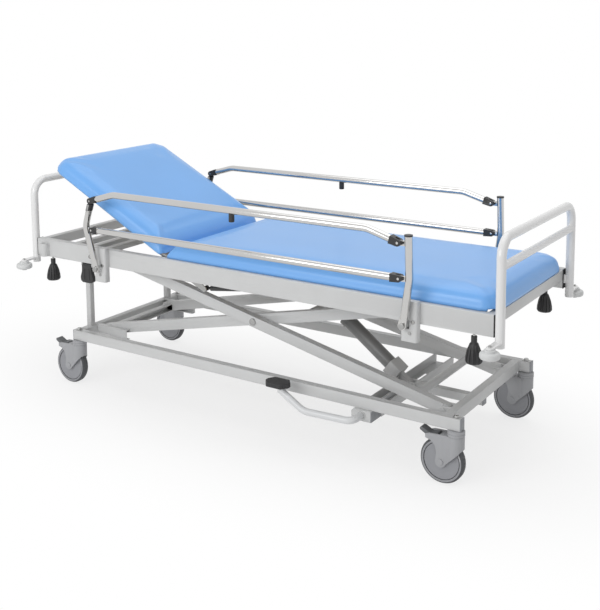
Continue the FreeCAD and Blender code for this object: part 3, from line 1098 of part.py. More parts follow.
def build():
    nodes = {}
    for side, sign in SIDES:
        nodes["base_rail_" + side] = base_rail(sign)
        nodes["side_member_" + side] = side_member(sign)
        nodes["rail_latch_" + side] = rail_latch(sign)
        nodes["lower_bar_" + side] = on_side(lower_bar(), sign)
        nodes["top_bar_" + side] = on_side(top_bar(), sign)
        nodes["head_post_" + side] = on_side(post(HEAD_POST_X, -1), sign)
        nodes["foot_post_" + side] = on_side(post(FOOT_POST_X, 1), sign)
        for (end_name, end), x in zip(ENDS, STEM_XS):
            corner = end_name + "_" + side
            nodes["caster_fork_" + corner] = caster_fork(x, sign)
            nodes["caster_wheel_" + corner] = caster_wheel(x, sign)
            nodes["brake_pedal_" + corner] = caster_brake(x, sign)
            nodes["bumper_" + corner] = bumper(end, sign)
            nodes["clamp_knob_" + corner] = knob(end, sign)
    nodes["base_cross_tubes"] = base_cross_tubes()
    nodes["arm_base_mounts"] = arm_base_mounts()
    nodes["pump_channel"] = pump_channel()
    nodes["pedal_housing"] = pedal_housing()
    nodes["caster_stems"] = caster_stems()
    nodes["tube_end_caps"] = tube_end_caps()
    nodes["outer_arms"] = outer_arms()
    nodes["inner_arms"] = inner_arms()
    nodes["pump_cylinder"] = pump_cylinder()
    nodes["pump_rod"] = pump_rod()
    nodes["pedal_lever"] = pedal_lever()
    nodes["pedal_pad"] = pedal_pad()
    nodes["platform_cross_tubes"] = platform_cross_tubes()
    nodes["arm_platform_mounts"] = arm_platform_mounts()
    nodes["side_rail_brackets"] = group(*side_rail_brackets().Solids, *latch_seats())
    nodes["backrest_hinge_leaves"] = backrest_hinge_leaves()
    nodes["leg_board"] = leg_board()
    nodes["leg_pad"] = leg_pad()
    nodes["member_end_plugs"] = member_end_plugs()
    nodes["backrest_frame"] = backrest_frame()
    nodes["backrest_pad"] = backrest_pad()
    nodes["gas_spring_cylinder"] = gas_spring_cylinder()
    nodes["gas_spring_rod"] = gas_spring_rod()
    nodes["head_bow"] = bow(-1, False)
    nodes["foot_bow"] = bow(1, True)
    nodes["release_handle"] = release_handle()
    return nodes


os.makedirs("parts", exist_ok=True)
for name, shape in build().items():
    shape.exportStep("parts/" + name + ".step")
    print(name, "solids", len(shape.Solids), "valid", shape.isValid(), "volume", round(shape.Volume))
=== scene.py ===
import json
import math

import bmesh
import bpy
from mathutils import Matrix, Vector


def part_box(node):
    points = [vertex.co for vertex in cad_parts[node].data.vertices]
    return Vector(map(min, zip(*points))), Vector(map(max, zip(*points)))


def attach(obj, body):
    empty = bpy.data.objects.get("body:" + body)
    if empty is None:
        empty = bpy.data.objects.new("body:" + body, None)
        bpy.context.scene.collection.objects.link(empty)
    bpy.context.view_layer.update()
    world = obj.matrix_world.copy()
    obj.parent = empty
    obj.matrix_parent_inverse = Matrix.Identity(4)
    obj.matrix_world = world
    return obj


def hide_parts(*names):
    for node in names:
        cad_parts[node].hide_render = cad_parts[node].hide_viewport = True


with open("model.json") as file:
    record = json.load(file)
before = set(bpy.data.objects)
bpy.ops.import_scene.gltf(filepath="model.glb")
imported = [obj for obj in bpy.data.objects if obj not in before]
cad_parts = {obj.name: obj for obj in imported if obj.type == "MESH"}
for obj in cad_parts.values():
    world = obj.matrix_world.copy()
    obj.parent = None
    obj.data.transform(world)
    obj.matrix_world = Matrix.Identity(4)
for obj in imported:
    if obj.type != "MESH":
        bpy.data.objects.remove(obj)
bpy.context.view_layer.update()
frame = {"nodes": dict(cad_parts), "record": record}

# The camera stands in front of the left side of the foot end, a little above the bed, as the
# photographer's did: the lens is shifted down so that upright lines stay nearly upright.
bpy.ops.object.select_all(action="DESELECT")
bpy.ops.object.camera_add(location=(2.0985, -3.0926, 1.4999),
                          rotation=[math.radians(turn) for turn in (82.499, 0.384, 33.122)])
camera = bpy.context.object
camera.name = "camera"
camera.data.lens = 59.55
camera.data.sensor_width = 36.0
camera.data.shift_y = -0.2705
bpy.context.scene.camera = camera
bpy.context.scene.view_settings.view_transform = "Standard"

# The welded base: two long rectangular tubes joined by a cross tube at each end, powder coated
# light grey in one go. Drawn tube has rolled corners, and the coat has a fine orange peel.
nodes = frame["nodes"]
body_of_node = {node: body for body, held in frame["record"]["behaviour"]["bodies"].items() for node in held}
TUBE_CORNER = 0.003
GREY_COAT = (0.61, 0.615, 0.615)
WHITE_COAT = (0.80, 0.80, 0.80)


def clouded(tree, colour, mottle, haze, detail, gloss_low, gloss_high):
    """Tone and roughness drift with a soft noise. Returns the coordinates that the noise uses."""
    shader = tree.nodes["Principled BSDF"]
    place = tree.nodes.new("ShaderNodeTexCoord")
    clouds = tree.nodes.new("ShaderNodeTexNoise")
    clouds.inputs["Scale"].default_value = haze
    clouds.inputs["Detail"].default_value = detail
    tree.links.new(place.outputs["Object"], clouds.inputs["Vector"])
    tones = tree.nodes.new("ShaderNodeValToRGB")
    tones.color_ramp.elements[0].position = 0.3
    tones.color_ramp.elements[1].position = 0.7
    tones.color_ramp.elements[0].color = [c * (1 - mottle) for c in colour] + [1]
    tones.color_ramp.elements[1].color = list(colour) + [1]
    tree.links.new(clouds.outputs["Fac"], tones.inputs["Fac"])
    tree.links.new(tones.outputs["Color"], shader.inputs["Base Color"])
    gloss = tree.nodes.new("ShaderNodeMapRange")
    gloss.inputs["To Min"].default_value = gloss_low
    gloss.inputs["To Max"].default_value = gloss_high
    tree.links.new(clouds.outputs["Fac"], gloss.inputs["Value"])
    tree.links.new(gloss.outputs["Result"], shader.inputs["Roughness"])
    return place


def finish(name, colour, roughness, peel=0.05, peel_size=650.0, coat=0.0, metallic=0.0,
           mottle=0.05, haze=9.0):
    """A coat, metal or plastic: cloudy tone and gloss, with a fine skin that breaks up reflections."""
    material = bpy.data.materials.new(name)
    material.use_nodes = True
    tree = material.node_tree
    shader = tree.nodes["Principled BSDF"]
    shader.inputs["Metallic"].default_value = metallic
    shader.inputs["Coat Weight"].default_value = coat
    shader.inputs["Coat Roughness"].default_value = 0.12
    place = clouded(tree, colour, mottle, haze, 6.0, roughness * 0.8, min(roughness * 1.2, 1.0))
    skin = tree.nodes.new("ShaderNodeTexNoise")
    skin.inputs["Scale"].default_value = peel_size
    skin.inputs["Detail"].default_value = 2.0
    tree.links.new(place.outputs["Object"], skin.inputs["Vector"])
    bump = tree.nodes.new("ShaderNodeBump")
    bump.inputs["Strength"].default_value = peel
    bump.inputs["Distance"].default_value = 0.001
    tree.links.new(skin.outputs["Fac"], bump.inputs["Height"])
    tree.links.new(bump.outputs["Normal"], shader.inputs["Normal"])
    return material


def dressed(node, material, edge=0.0010, corner=0.0, steps=2, turn=35.0):
    """A merged copy of a node with rolled tube corners and broken edges; it stands for the node."""
    source = nodes[node]
    piece = source.copy()
    piece.data = source.data.copy()
    for key in list(piece.keys()):
        del piece[key]
    piece.parent = None
    piece.name = node + ".dressed"
    bpy.context.scene.collection.objects.link(piece)
    bpy.ops.object.select_all(action="DESELECT")
    piece.select_set(True)
    bpy.context.view_layer.objects.active = piece
    bpy.ops.object.mode_set(mode="EDIT")
    bpy.ops.mesh.select_all(action="SELECT")
    bpy.ops.mesh.remove_doubles(threshold=0.00002)
    bpy.ops.mesh.dissolve_limited(angle_limit=math.radians(0.5))
    if corner:
        bpy.ops.mesh.select_mode(type="EDGE")
        bpy.ops.mesh.select_all(action="DESELECT")
        shell = bmesh.from_edit_mesh(piece.data)
        for line in shell.edges:
            if len(line.link_faces) == 2 and line.is_convex and line.calc_length() > 0.12:
                line.select_set(line.calc_face_angle() > math.radians(60))
        bpy.ops.mesh.bevel(offset=corner, segments=3, affect="EDGES")
    bpy.ops.object.mode_set(mode="OBJECT")
    if edge:
        broken = piece.modifiers.new("broken_edges", "BEVEL")
        broken.width = edge
        broken.segments = steps
        broken.limit_method = "ANGLE"
        broken.angle_limit = math.radians(50.0 if corner else turn)
        bpy.ops.object.modifier_apply(modifier="broken_edges")
    bpy.ops.object.shade_smooth_by_angle(angle=math.radians(turn))
    piece.data.materials.clear()
    piece.data.materials.append(material)
    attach(piece, body_of_node[node])
    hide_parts(node)
    return piece


def second_finish(piece, material, chosen):
    """Gives the faces whose centre passes the test another finish."""
    piece.data.materials.append(material)
    index = len(piece.data.materials) - 1
    for face in piece.data.polygons:
        if chosen(face.center):
            face.material_index = index


grey_coat = finish("grey_powder_coat", GREY_COAT, 0.38)
dressed("base_rail_left", grey_coat, corner=TUBE_CORNER)
dressed("base_rail_right", grey_coat, corner=TUBE_CORNER)
dressed("base_cross_tubes", grey_coat, corner=TUBE_CORNER)

# Grey moulded caps close the tubes' open ends, pressed in with ribbed plugs, and black rubber
# buffers sit on the two rest posts that take the lowered bed.
grey_plastic = finish("grey_moulded_plastic", (0.29, 0.30, 0.32), 0.5, peel=0.08, peel_size=900.0)
black_rubber = finish("black_buffer_rubber", (0.030, 0.030, 0.031), 0.7, peel=0.2, peel_size=500.0)
caps = dressed("tube_end_caps", grey_plastic)
BUFFER_LOW_Z = 0.53
second_finish(caps, black_rubber, lambda c: c.z > BUFFER_LOW_Z)

# Zinc-plated stems of the casters: each passes up through its rail and ends in a washer and a
# domed nut on top.
zinc = finish("bright_zinc", (0.40, 0.40, 0.395), 0.26, peel=0.03, peel_size=300.0, metallic=1.0)
dressed("caster_stems", zinc, edge=0.0018, steps=3)

# Casters: a grey moulded fork swivels under a flanged race, round a wheel with a dark tread, a
# pale ring of its core showing beside it, a dark groove and a grey disc. Fork and disc share one
# grey: the fork is painted lighter as painted light and the disc darker as painted shade, for
# the contrast between them. A brake pedal is pinned behind the fork's crown.
tread_rubber = finish("tread_rubber", (0.075, 0.078, 0.083), 0.6, peel=0.12, peel_size=500.0)
core_ring = finish("wheel_core_ring", (0.43, 0.435, 0.45), 0.5, peel=0.05, peel_size=800.0)
# Painted shade: the disc is darker than the grey it shares with the fork.
disc_painted_shade_plastic = finish("wheel_disc_painted_shade_plastic", (0.31, 0.315, 0.335), 0.45, peel=0.06, peel_size=800.0)
groove_plastic = finish("wheel_groove_plastic", (0.05, 0.051, 0.054), 0.6, peel=0.05, peel_size=800.0)
pedal_plastic = finish("brake_pedal_plastic", (0.13, 0.135, 0.142), 0.5, peel=0.08, peel_size=900.0)
# Painted light: the fork is lighter than the grey it shares with the disc.
fork_painted_light_plastic = finish("caster_fork_painted_light_plastic", (0.38, 0.385, 0.40), 0.48, peel=0.08, peel_size=900.0)
CORE_RADII = (0.0625, 0.0685)
GROOVE_RADII = (0.0598, 0.0628)
DISC_RADII = (0.0, 0.0600)
WHEEL_SIDE = 0.006
for end in ("head", "foot"):
    for side in ("left", "right"):
        corner = end + "_" + side
        dressed("caster_fork_" + corner, fork_painted_light_plastic, edge=0.0016, steps=3)
        wheel = dressed("caster_wheel_" + corner, tread_rubber, edge=0.0006)
        low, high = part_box("caster_wheel_" + corner)
        hub = (Vector(low) + Vector(high)) / 2

        def band(inner, outer, hub=hub):
            return lambda c: inner <= (c - hub).xz.length < outer and abs(c.y - hub.y) > WHEEL_SIDE

        second_finish(wheel, core_ring, band(*CORE_RADII))
        second_finish(wheel, groove_plastic, band(*GROOVE_RADII))
        second_finish(wheel, disc_painted_shade_plastic, band(*DISC_RADII))
        dressed("brake_pedal_" + corner, pedal_plastic, edge=0.0022, steps=3)

# Scissor lift: two pairs of rectangular tubes cross at a bolt. At the foot they turn on pins
# between welded lugs, and at the head their rollers run in C tracks.
CROSSING = Vector((0.017, 0.0, 0.3715))
BOLT_HEAD_RADIUS = 0.016
ARM_OUTSIDE_Y = 0.2292
ROLLER_X = -0.742
ROLLER_REACH = 0.03
ROLLER_LOW_Y, ROLLER_HIGH_Y = 0.1962, 0.23
outer = dressed("outer_arms", grey_coat, corner=TUBE_CORNER)
second_finish(outer, zinc, lambda c: abs(c.y) > ARM_OUTSIDE_Y and (c - CROSSING).xz.length < BOLT_HEAD_RADIUS)
second_finish(outer, black_rubber, lambda c: abs(c.y) > ARM_OUTSIDE_Y and abs(c.x - ROLLER_X) < ROLLER_REACH)
inner = dressed("inner_arms", grey_coat, corner=TUBE_CORNER)
second_finish(inner, black_rubber,
              lambda c: ROLLER_LOW_Y < abs(c.y) < ROLLER_HIGH_Y and abs(c.x - ROLLER_X) < ROLLER_REACH)
dressed("arm_base_mounts", grey_coat)
dressed("arm_platform_mounts", grey_coat)

# Foot pump: a dark coated cylinder leans from a pin in the cross channel up to the inner arms'
# cross tube, with a paler cast valve block at its lower end and a ground steel rod.
PUMP_PIN = Vector((0.536, 0.0, 0.173))
PUMP_BLOCK_LENGTH = 0.0975
PUMP_LINE = (Vector((0.213, 0.0, 0.4145)) - PUMP_PIN).normalized()
pump_coat = finish("pump_dark_coat", (0.20, 0.20, 0.20), 0.4, peel=0.05)
cast_block = finish("pale_cast_block", (0.54, 0.54, 0.54), 0.45, peel=0.15, peel_size=260.0, mottle=0.12)
pump = dressed("pump_cylinder", pump_coat, edge=0.0014)
second_finish(pump, cast_block, lambda c: (c - PUMP_PIN).dot(PUMP_LINE) < PUMP_BLOCK_LENGTH)
dressed("pump_rod", zinc, edge=0.0008)
dressed("pump_channel", grey_coat, edge=0.0012)
dressed("pedal_housing", grey_coat, edge=0.0022, steps=3)

# Pedal: a bent tube with a pale coat swings on a shaft in its housing, and carries a black
# moulded rubber pad with a ribbed tread.
white_coat = finish("white_gloss_coat", WHITE_COAT, 0.24, peel=0.03, coat=0.3, mottle=0.03)
pedal_tube_coat = finish("pedal_pale_coat", (0.70, 0.71, 0.72), 0.33, peel=0.04, coat=0.15)
dressed("pedal_lever", pedal_tube_coat, edge=0.0010)
ribbed_rubber = finish("ribbed_pedal_rubber", (0.028, 0.028, 0.029), 0.6, peel=0.15, peel_size=600.0)
tree = ribbed_rubber.node_tree
ribs = tree.nodes.new("ShaderNodeTexWave")
ribs.wave_type = "BANDS"
ribs.bands_direction = "X"
ribs.inputs["Scale"].default_value = 55.0
place = tree.nodes.new("ShaderNodeTexCoord")
tree.links.new(place.outputs["Object"], ribs.inputs["Vector"])
tread = tree.nodes.new("ShaderNodeBump")
tread.inputs["Strength"].default_value = 0.6
tread.inputs["Distance"].default_value = 0.0015
tree.links.new(ribs.outputs["Fac"], tread.inputs["Height"])
fine = [n for n in tree.nodes if n.bl_idname == "ShaderNodeBump" and n != tread][0]
tree.links.new(tread.outputs["Normal"], fine.inputs["Normal"])
dressed("pedal_pad", ribbed_rubber, edge=0.0016, steps=3)

# Bed frame: two deep rectangular side members, cross tubes let in between them, and black
# plugs in the members' open ends that guide the bows' pegs.
black_plastic = finish("black_moulded_plastic", (0.020, 0.020, 0.021), 0.42, peel=0.12, peel_size=700.0)
dressed("side_member_left", grey_coat, corner=TUBE_CORNER)
dressed("side_member_right", grey_coat, corner=TUBE_CORNER)
dressed("platform_cross_tubes", grey_coat, corner=0.002)
dressed("member_end_plugs", black_plastic, edge=0.0006)

# Side rail brackets: an upright bar and a block, coated with the frame, with zinc-plated
# bolts and the pivot of each post. The sprung latch pin holds the rail up.
BRACKET_FACE_Y = 0.3523
brackets = dressed("side_rail_brackets", grey_coat, edge=0.0003)
second_finish(brackets, zinc, lambda c: abs(c.y) > BRACKET_FACE_Y)
dressed("rail_latch_left", zinc, edge=0.0008)
dressed("rail_latch_right", zinc, edge=0.0008)

# Boards that the pads are screwed to, of coated plywood, and the steel hinge between them. The
# backrest's board stands raised, and the lever plate lies under it.
HINGE = Vector((-0.335, 0.0, 0.576))
BOARD_UP = Vector((0.4555, 0.0, 0.8902))
BOARD_LOW = 0.002
plywood = finish("coated_plywood", (0.36, 0.31, 0.25), 0.55, peel=0.08, peel_size=200.0,
                 mottle=0.2, haze=30.0)
dressed("leg_board", plywood, edge=0.0006)
raised_board = dressed("backrest_frame", plywood, edge=0.0006)
second_finish(raised_board, zinc, lambda c: (c - HINGE).dot(BOARD_UP) < BOARD_LOW)
dressed("backrest_hinge_leaves", zinc, edge=0.0004)

# Gas spring of the backrest: a black coated tube, and a bright rod that ends in its bracket.
gas_coat = finish("gas_spring_black_coat", (0.022, 0.022, 0.023), 0.3, peel=0.02)
dressed("gas_spring_cylinder", gas_coat, edge=0.0008)
dressed("gas_spring_rod", zinc, edge=0.0005)

# End bows: round tube bent to a U, white gloss coat, welded arms for the bumper discs. A
# fluted black knob under each member clamps the bow's peg.
PEG_Y = 0.390
PEG_RADIUS = 0.0095
MEMBER_UNDER_Z = 0.5021
white_plastic = finish("white_moulded_plastic", (0.66, 0.67, 0.67), 0.45, peel=0.05)
for end in ("head", "foot"):
    bow = dressed(end + "_bow", white_coat, edge=0.0006)
    second_finish(bow, zinc, lambda c: abs(abs(c.y) - PEG_Y) < PEG_RADIUS and (c.z < 0.468 or c.z > 0.5022))
    for side in ("left", "right"):
        corner = end + "_" + side
        dressed("bumper_" + corner, white_plastic, edge=0.0018, steps=3)
        knob = dressed("clamp_knob_" + corner, black_plastic, edge=0.0010)
        second_finish(knob, zinc, lambda c: c.z > MEMBER_UNDER_Z)

# Side rails: chromed tubes. Each bar ends in a black moulded fork pinned to its post, the
# posts have black caps, and a black rubber stop sits under the middle of the top bar.
chrome = finish("polished_chrome", (0.58, 0.575, 0.565), 0.10, peel=0.0, metallic=1.0, mottle=0.03)
FORK_LENGTH = 0.0405
STOP_X = 0.035
STOP_RADIUS = 0.010
STOP_TOP = 0.800
STOP_LOW = 0.768
STOP_CORE = 0.0065
STOP_CORE_TOP = 0.7956
STOP_ROUNDING = 0.0022
POST_CAP_Z = 0.7992
POST_CUT_Z = 0.675
ELBOW_LOW_Z = 0.7372
ELBOW_HALF_WIDTH = 0.0128
TOP_JOINT_X = -0.631
TOP_JOINT_Z = 0.776
POST_STEPS = ((0.0005, 0.006, 1.0), (0.0012, 0.007, 1.0), (0.0020, 0.008, 1.0), (0.0137, 0.0411, 1.0),
              (0.0001, 0.0003, 1.08), (0.0080, 0.0240, 1.0), (0.0006, 0.0020, 0.84))
for side in ("left", "right"):
    for bar in ("top_bar_", "lower_bar_"):
        piece = dressed(bar + side, chrome, edge=0.0)
        low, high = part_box(bar + side)
        first, last = low[0] + FORK_LENGTH, high[0] - FORK_LENGTH
        second_finish(piece, black_plastic, lambda c, first=first, last=last: c.x < first or c.x > last)
        if bar == "top_bar_":
            second_finish(piece, black_rubber,
                          lambda c: abs(c.x - STOP_X) < STOP_CORE and c.z < STOP_CORE_TOP)
            rail_y = (low[1] + high[1]) / 2
            bpy.ops.object.select_all(action="DESELECT")
            bpy.ops.mesh.primitive_cylinder_add(vertices=40, radius=STOP_RADIUS, depth=STOP_TOP - STOP_LOW,
                                                location=(STOP_X, rail_y, (STOP_TOP + STOP_LOW) / 2))
            stop = bpy.context.object
            stop.name = "rail_stop_" + side
            bpy.ops.object.transform_apply(location=True, rotation=True, scale=True)
            rounding = stop.modifiers.new("rounding", "BEVEL")
            rounding.width = STOP_ROUNDING
            rounding.segments = 3
            bpy.ops.object.modifier_apply(modifier="rounding")
            bpy.ops.object.shade_smooth_by_angle(angle=math.radians(35))
            stop.data.materials.append(black_rubber)
            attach(stop, body_of_node[bar + side])
    foot_post = dressed("foot_post_" + side, chrome, edge=0.0006)
    second_finish(foot_post, black_plastic, lambda c: c.z > POST_CAP_Z)

    # The head post leans back above its middle joint and ends in a black elbow at the top bar.
    head_post = dressed("head_post_" + side, chrome, edge=0.0006)
    joint = Vector((TOP_JOINT_X, rail_y, TOP_JOINT_Z))
    bpy.ops.object.mode_set(mode="EDIT")
    bpy.ops.mesh.select_mode(type="FACE")
    bpy.ops.mesh.select_all(action="SELECT")
    bpy.ops.mesh.bisect(plane_co=(0, 0, POST_CUT_Z), plane_no=(0, 0, 1), use_fill=True, clear_outer=True)
    bpy.ops.mesh.select_all(action="DESELECT")
    shell = bmesh.from_edit_mesh(head_post.data)
    for face in shell.faces:
        face.select_set(face.normal.z > 0.95 and face.calc_center_median().z > POST_CUT_Z - 0.0005)
    for back, up, swell in POST_STEPS:
        bpy.ops.mesh.extrude_region_move(TRANSFORM_OT_translate={"value": (back, 0.0, up)})
        bpy.ops.transform.resize(value=(swell, swell, 1.0))
    bpy.ops.mesh.primitive_cylinder_add(vertices=40, radius=0.009, depth=0.0088, location=joint,
                                        rotation=(math.pi / 2, 0.0, 0.0))
    bpy.ops.mesh.primitive_cylinder_add(vertices=32, radius=0.004, depth=0.026, location=joint,
                                        rotation=(math.pi / 2, 0.0, 0.0))
    bpy.ops.mesh.primitive_cube_add(size=1.0, location=joint + Vector((-0.0024, 0.0, -0.0072)),
                                    rotation=(0.0, math.radians(18.5), 0.0), scale=(0.016, 0.0088, 0.020))
    bpy.ops.object.mode_set(mode="OBJECT")
    bpy.ops.object.shade_smooth_by_angle(angle=math.radians(35))
    second_finish(head_post, black_plastic, lambda c: c.z > ELBOW_LOW_Z)
    second_finish(head_post, zinc, lambda c: c.z > ELBOW_LOW_Z and abs(c.y - rail_y) > ELBOW_HALF_WIDTH)

# Release paddle of the backrest: black moulded plastic with two ridges, hung from a pin under
# the left side member.
dressed("release_handle", black_plastic, edge=0.0024, steps=3)

# Pads: foam under blue vinyl, drawn tight over rounded edges and stapled to the board below.
# The cover is blown up a little by a cloth simulation. It is tight at the rim, which reaches
# down round the board, and pulled in along a valley at each corner.
VINYL_BLUE = (0.175, 0.43, 0.86)
BACKREST_RAISED = math.radians(27.1)
PAD_HALF_WIDTH = 0.316
PAD_RIM_LOW = 0.5815
PAD_BOARD_TOP = 0.5878
PAD_TOP = 0.6406
PAD_SHRINK = 0.002
PAD_OVERHANG = 0.008
END_SLANT = math.radians(31.0)
FAR_ROUND, NEAR_ROUND = (0.062, 9), (0.020, 4)
TOP_ROUND, RIM_ROUND = (0.038, 9), (0.004, 2)
BOARD_MARGIN = 0.013
STAPLED_Z = PAD_BOARD_TOP + 0.002
VOXEL, QUICK_VOXEL = 0.0065, 0.012
CLOTH_STEPS = 20
SWELL_CAP = 0.006
VALLEY_TOP = PAD_TOP - 0.030
VALLEY_LENGTH = 0.20
VALLEY_DEPTH = 0.0042
RIM_MARGIN = 0.015
RIM_BAND = 0.005


def vinyl():
    """Blue upholstery vinyl: a faint leather grain, small pores and a soft sheen."""
    material = bpy.data.materials.new("blue_vinyl")
    material.use_nodes = True
    tree = material.node_tree
    shader = tree.nodes["Principled BSDF"]
    shader.inputs["Sheen Weight"].default_value = 0.06
    shader.inputs["Sheen Roughness"].default_value = 0.5
    place = clouded(tree, VINYL_BLUE, 0.04, 5.0, 5.0, 0.25, 0.34)
    grain = tree.nodes.new("ShaderNodeTexVoronoi")
    grain.feature = "DISTANCE_TO_EDGE"
    grain.inputs["Scale"].default_value = 620.0
    tree.links.new(place.outputs["Object"], grain.inputs["Vector"])
    pores = tree.nodes.new("ShaderNodeTexNoise")
    pores.inputs["Scale"].default_value = 260.0
    pores.inputs["Detail"].default_value = 4.0
    tree.links.new(place.outputs["Object"], pores.inputs["Vector"])
    both = tree.nodes.new("ShaderNodeMath")
    both.operation = "MULTIPLY_ADD"
    both.inputs[1].default_value = 0.6
    tree.links.new(grain.outputs["Distance"], both.inputs[0])
    tree.links.new(pores.outputs["Fac"], both.inputs[2])
    bump = tree.nodes.new("ShaderNodeBump")
    bump.inputs["Strength"].default_value = 0.10
    bump.inputs["Distance"].default_value = 0.0008
    tree.links.new(both.outputs["Value"], bump.inputs["Height"])
    tree.links.new(bump.outputs["Normal"], shader.inputs["Normal"])
    return material


blue_vinyl = vinyl()


def pad(name, node, end_x):
    """Foam block from the hinge to end_x, swollen by cloth pressure over its stapled rim."""
    away = 1 if end_x > HINGE.x else -1
    near_x = HINGE.x + away * ((PAD_RIM_LOW - HINGE.z) * math.tan(END_SLANT) + PAD_SHRINK + 0.001)
    far_x = end_x - away * PAD_SHRINK
    half = PAD_HALF_WIDTH - PAD_SHRINK
    top = PAD_TOP - PAD_SHRINK
    bpy.ops.object.select_all(action="DESELECT")
    bpy.ops.mesh.primitive_cube_add(size=1.0, location=((near_x + far_x) / 2, 0.0, (PAD_RIM_LOW + top) / 2))
    piece = bpy.context.object
    piece.name = name
    piece.scale = (abs(far_x - near_x), 2 * half, top - PAD_RIM_LOW)
    bpy.ops.object.transform_apply(location=True, rotation=True, scale=True)
    bpy.ops.object.mode_set(mode="EDIT")
    bpy.ops.mesh.select_mode(type="VERT")
    bpy.ops.mesh.select_all(action="DESELECT")
    shell = bmesh.from_edit_mesh(piece.data)
    for v in shell.verts:
        v.select_set(abs(v.co.x - near_x) < 0.001 and v.co.z > top - 0.001)
    bpy.ops.transform.translate(value=(away * (top - PAD_RIM_LOW) * math.tan(END_SLANT), 0.0, 0.0))
    bpy.ops.mesh.select_mode(type="EDGE")
    for end, (offset, steps) in ((far_x, FAR_ROUND), (near_x, NEAR_ROUND)):
        bpy.ops.mesh.select_all(action="DESELECT")
        shell = bmesh.from_edit_mesh(piece.data)
        for line in shell.edges:
            a, b = line.verts[0].co, line.verts[1].co
            line.select_set(abs(a.z - b.z) > 0.03 and min(abs(a.x - end), abs(b.x - end)) < 0.002)
        bpy.ops.mesh.bevel(offset=offset, segments=steps, affect="EDGES")
    for level, (offset, steps) in ((top, TOP_ROUND), (PAD_RIM_LOW, RIM_ROUND)):
        bpy.ops.mesh.select_all(action="DESELECT")
        shell = bmesh.from_edit_mesh(piece.data)
        for line in shell.edges:
            flat = all(abs(v.co.z - level) < 0.0002 for v in line.verts)
            line.select_set(flat and len(line.link_faces) == 2 and line.calc_face_angle() > math.radians(30))
        bpy.ops.mesh.bevel(offset=offset, segments=steps, affect="EDGES")
    bpy.ops.mesh.select_mode(type="FACE")
    bpy.ops.mesh.select_all(action="DESELECT")
    shell = bmesh.from_edit_mesh(piece.data)
    for face in shell.faces:
        face.select_set(face.normal.z < -0.99 and face.calc_area() > 0.1)
    bpy.ops.mesh.inset(thickness=BOARD_MARGIN)
    board_deep = (0.0, 0.0, PAD_BOARD_TOP - PAD_RIM_LOW)
    bpy.ops.mesh.extrude_region_move(TRANSFORM_OT_translate={"value": board_deep})
    bpy.ops.object.mode_set(mode="OBJECT")
    cells = piece.modifiers.new("cells", "REMESH")
    cells.mode = "VOXEL"
    cells.voxel_size = VOXEL
    bpy.ops.object.modifier_apply(modifier="cells")
    start = [v.co.copy() for v in piece.data.vertices]
    held = piece.vertex_groups.new(name="stapled")
    for v in piece.data.vertices:
        if v.co.z < STAPLED_Z:
            held.add([v.index], 1.0, "REPLACE")
    cover = piece.modifiers.new("cover", "CLOTH")
    cover.settings.use_pressure = True
    cover.settings.uniform_pressure_force = 4.0
    cover.settings.vertex_group_mass = "stapled"
    cover.settings.effector_weights.gravity = 0.0
    cover.settings.quality = 3
    cover.settings.tension_stiffness = 20.0
    cover.settings.compression_stiffness = 20.0
    cover.settings.bending_stiffness = 1.0
    cover.collision_settings.use_collision = False
    for step in range(1, CLOTH_STEPS + 1):
        bpy.context.scene.frame_set(step)
    bpy.ops.object.modifier_apply(modifier="cover")
    bpy.context.scene.frame_set(1)
    piece.vertex_groups.clear()
    for v, was in zip(piece.data.vertices, start):
        moved = v.co - was
        if moved.length > SWELL_CAP:
            v.co = was + moved.normalized() * SWELL_CAP
    corners = [Vector((far_x, s * half)) for s in (-1, 1)]
    inward = [Vector((-away, -s)).normalized() for s in (-1, 1)]
    for v in piece.data.vertices:
        if v.co.z > VALLEY_TOP:
            for corner, into in zip(corners, inward):
                out = v.co.xy - corner
                along = out.dot(into)
                aside = (out - into * along).length
                if 0.0 < along < VALLEY_LENGTH:
                    fade = math.sin(math.pi * min(along / VALLEY_LENGTH, 1.0)) ** 0.7
                    v.co.z -= VALLEY_DEPTH * fade * math.exp(-(aside / (0.010 + 0.12 * along)) ** 2)
    settle = piece.modifiers.new("settle", "SMOOTH")
    settle.factor = 0.5
    settle.iterations = 12
    bpy.ops.object.modifier_apply(modifier="settle")
    for v in piece.data.vertices:
        over_board = abs(v.co.y) < PAD_HALF_WIDTH - RIM_MARGIN and away * (end_x - v.co.x) > RIM_MARGIN
        if over_board:
            v.co.z = max(v.co.z, PAD_BOARD_TOP)
        elif v.co.z < PAD_RIM_LOW + RIM_BAND:
            v.co.z = PAD_RIM_LOW
    bpy.ops.object.shade_smooth()
    piece.data.materials.append(blue_vinyl)
    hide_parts(node)
    return piece


leg_pad = pad("leg_pad_cover", "leg_pad", 0.977 + PAD_OVERHANG)
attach(leg_pad, "platform")
backrest_pad = pad("backrest_pad_cover", "backrest_pad", HINGE.x - 0.640 - PAD_OVERHANG)
backrest_pad.data.transform(Matrix.Translation(HINGE) @ Matrix.Rotation(BACKREST_RAISED, 4, "Y")
                            @ Matrix.Translation(-HINGE))
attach(backrest_pad, "backrest")

# Studio: a sheet of white paper as the floor, which fades into the white backdrop away from
# the stretcher and keeps its soft shadow near it.
def joined(tree, operation, first, second):
    """A math node on two sockets; returns its result."""
    sums = tree.nodes.new("ShaderNodeMath")
    sums.operation = operation
    tree.links.new(first, sums.inputs[0])
    tree.links.new(second, sums.inputs[1])
    return sums.outputs["Value"]


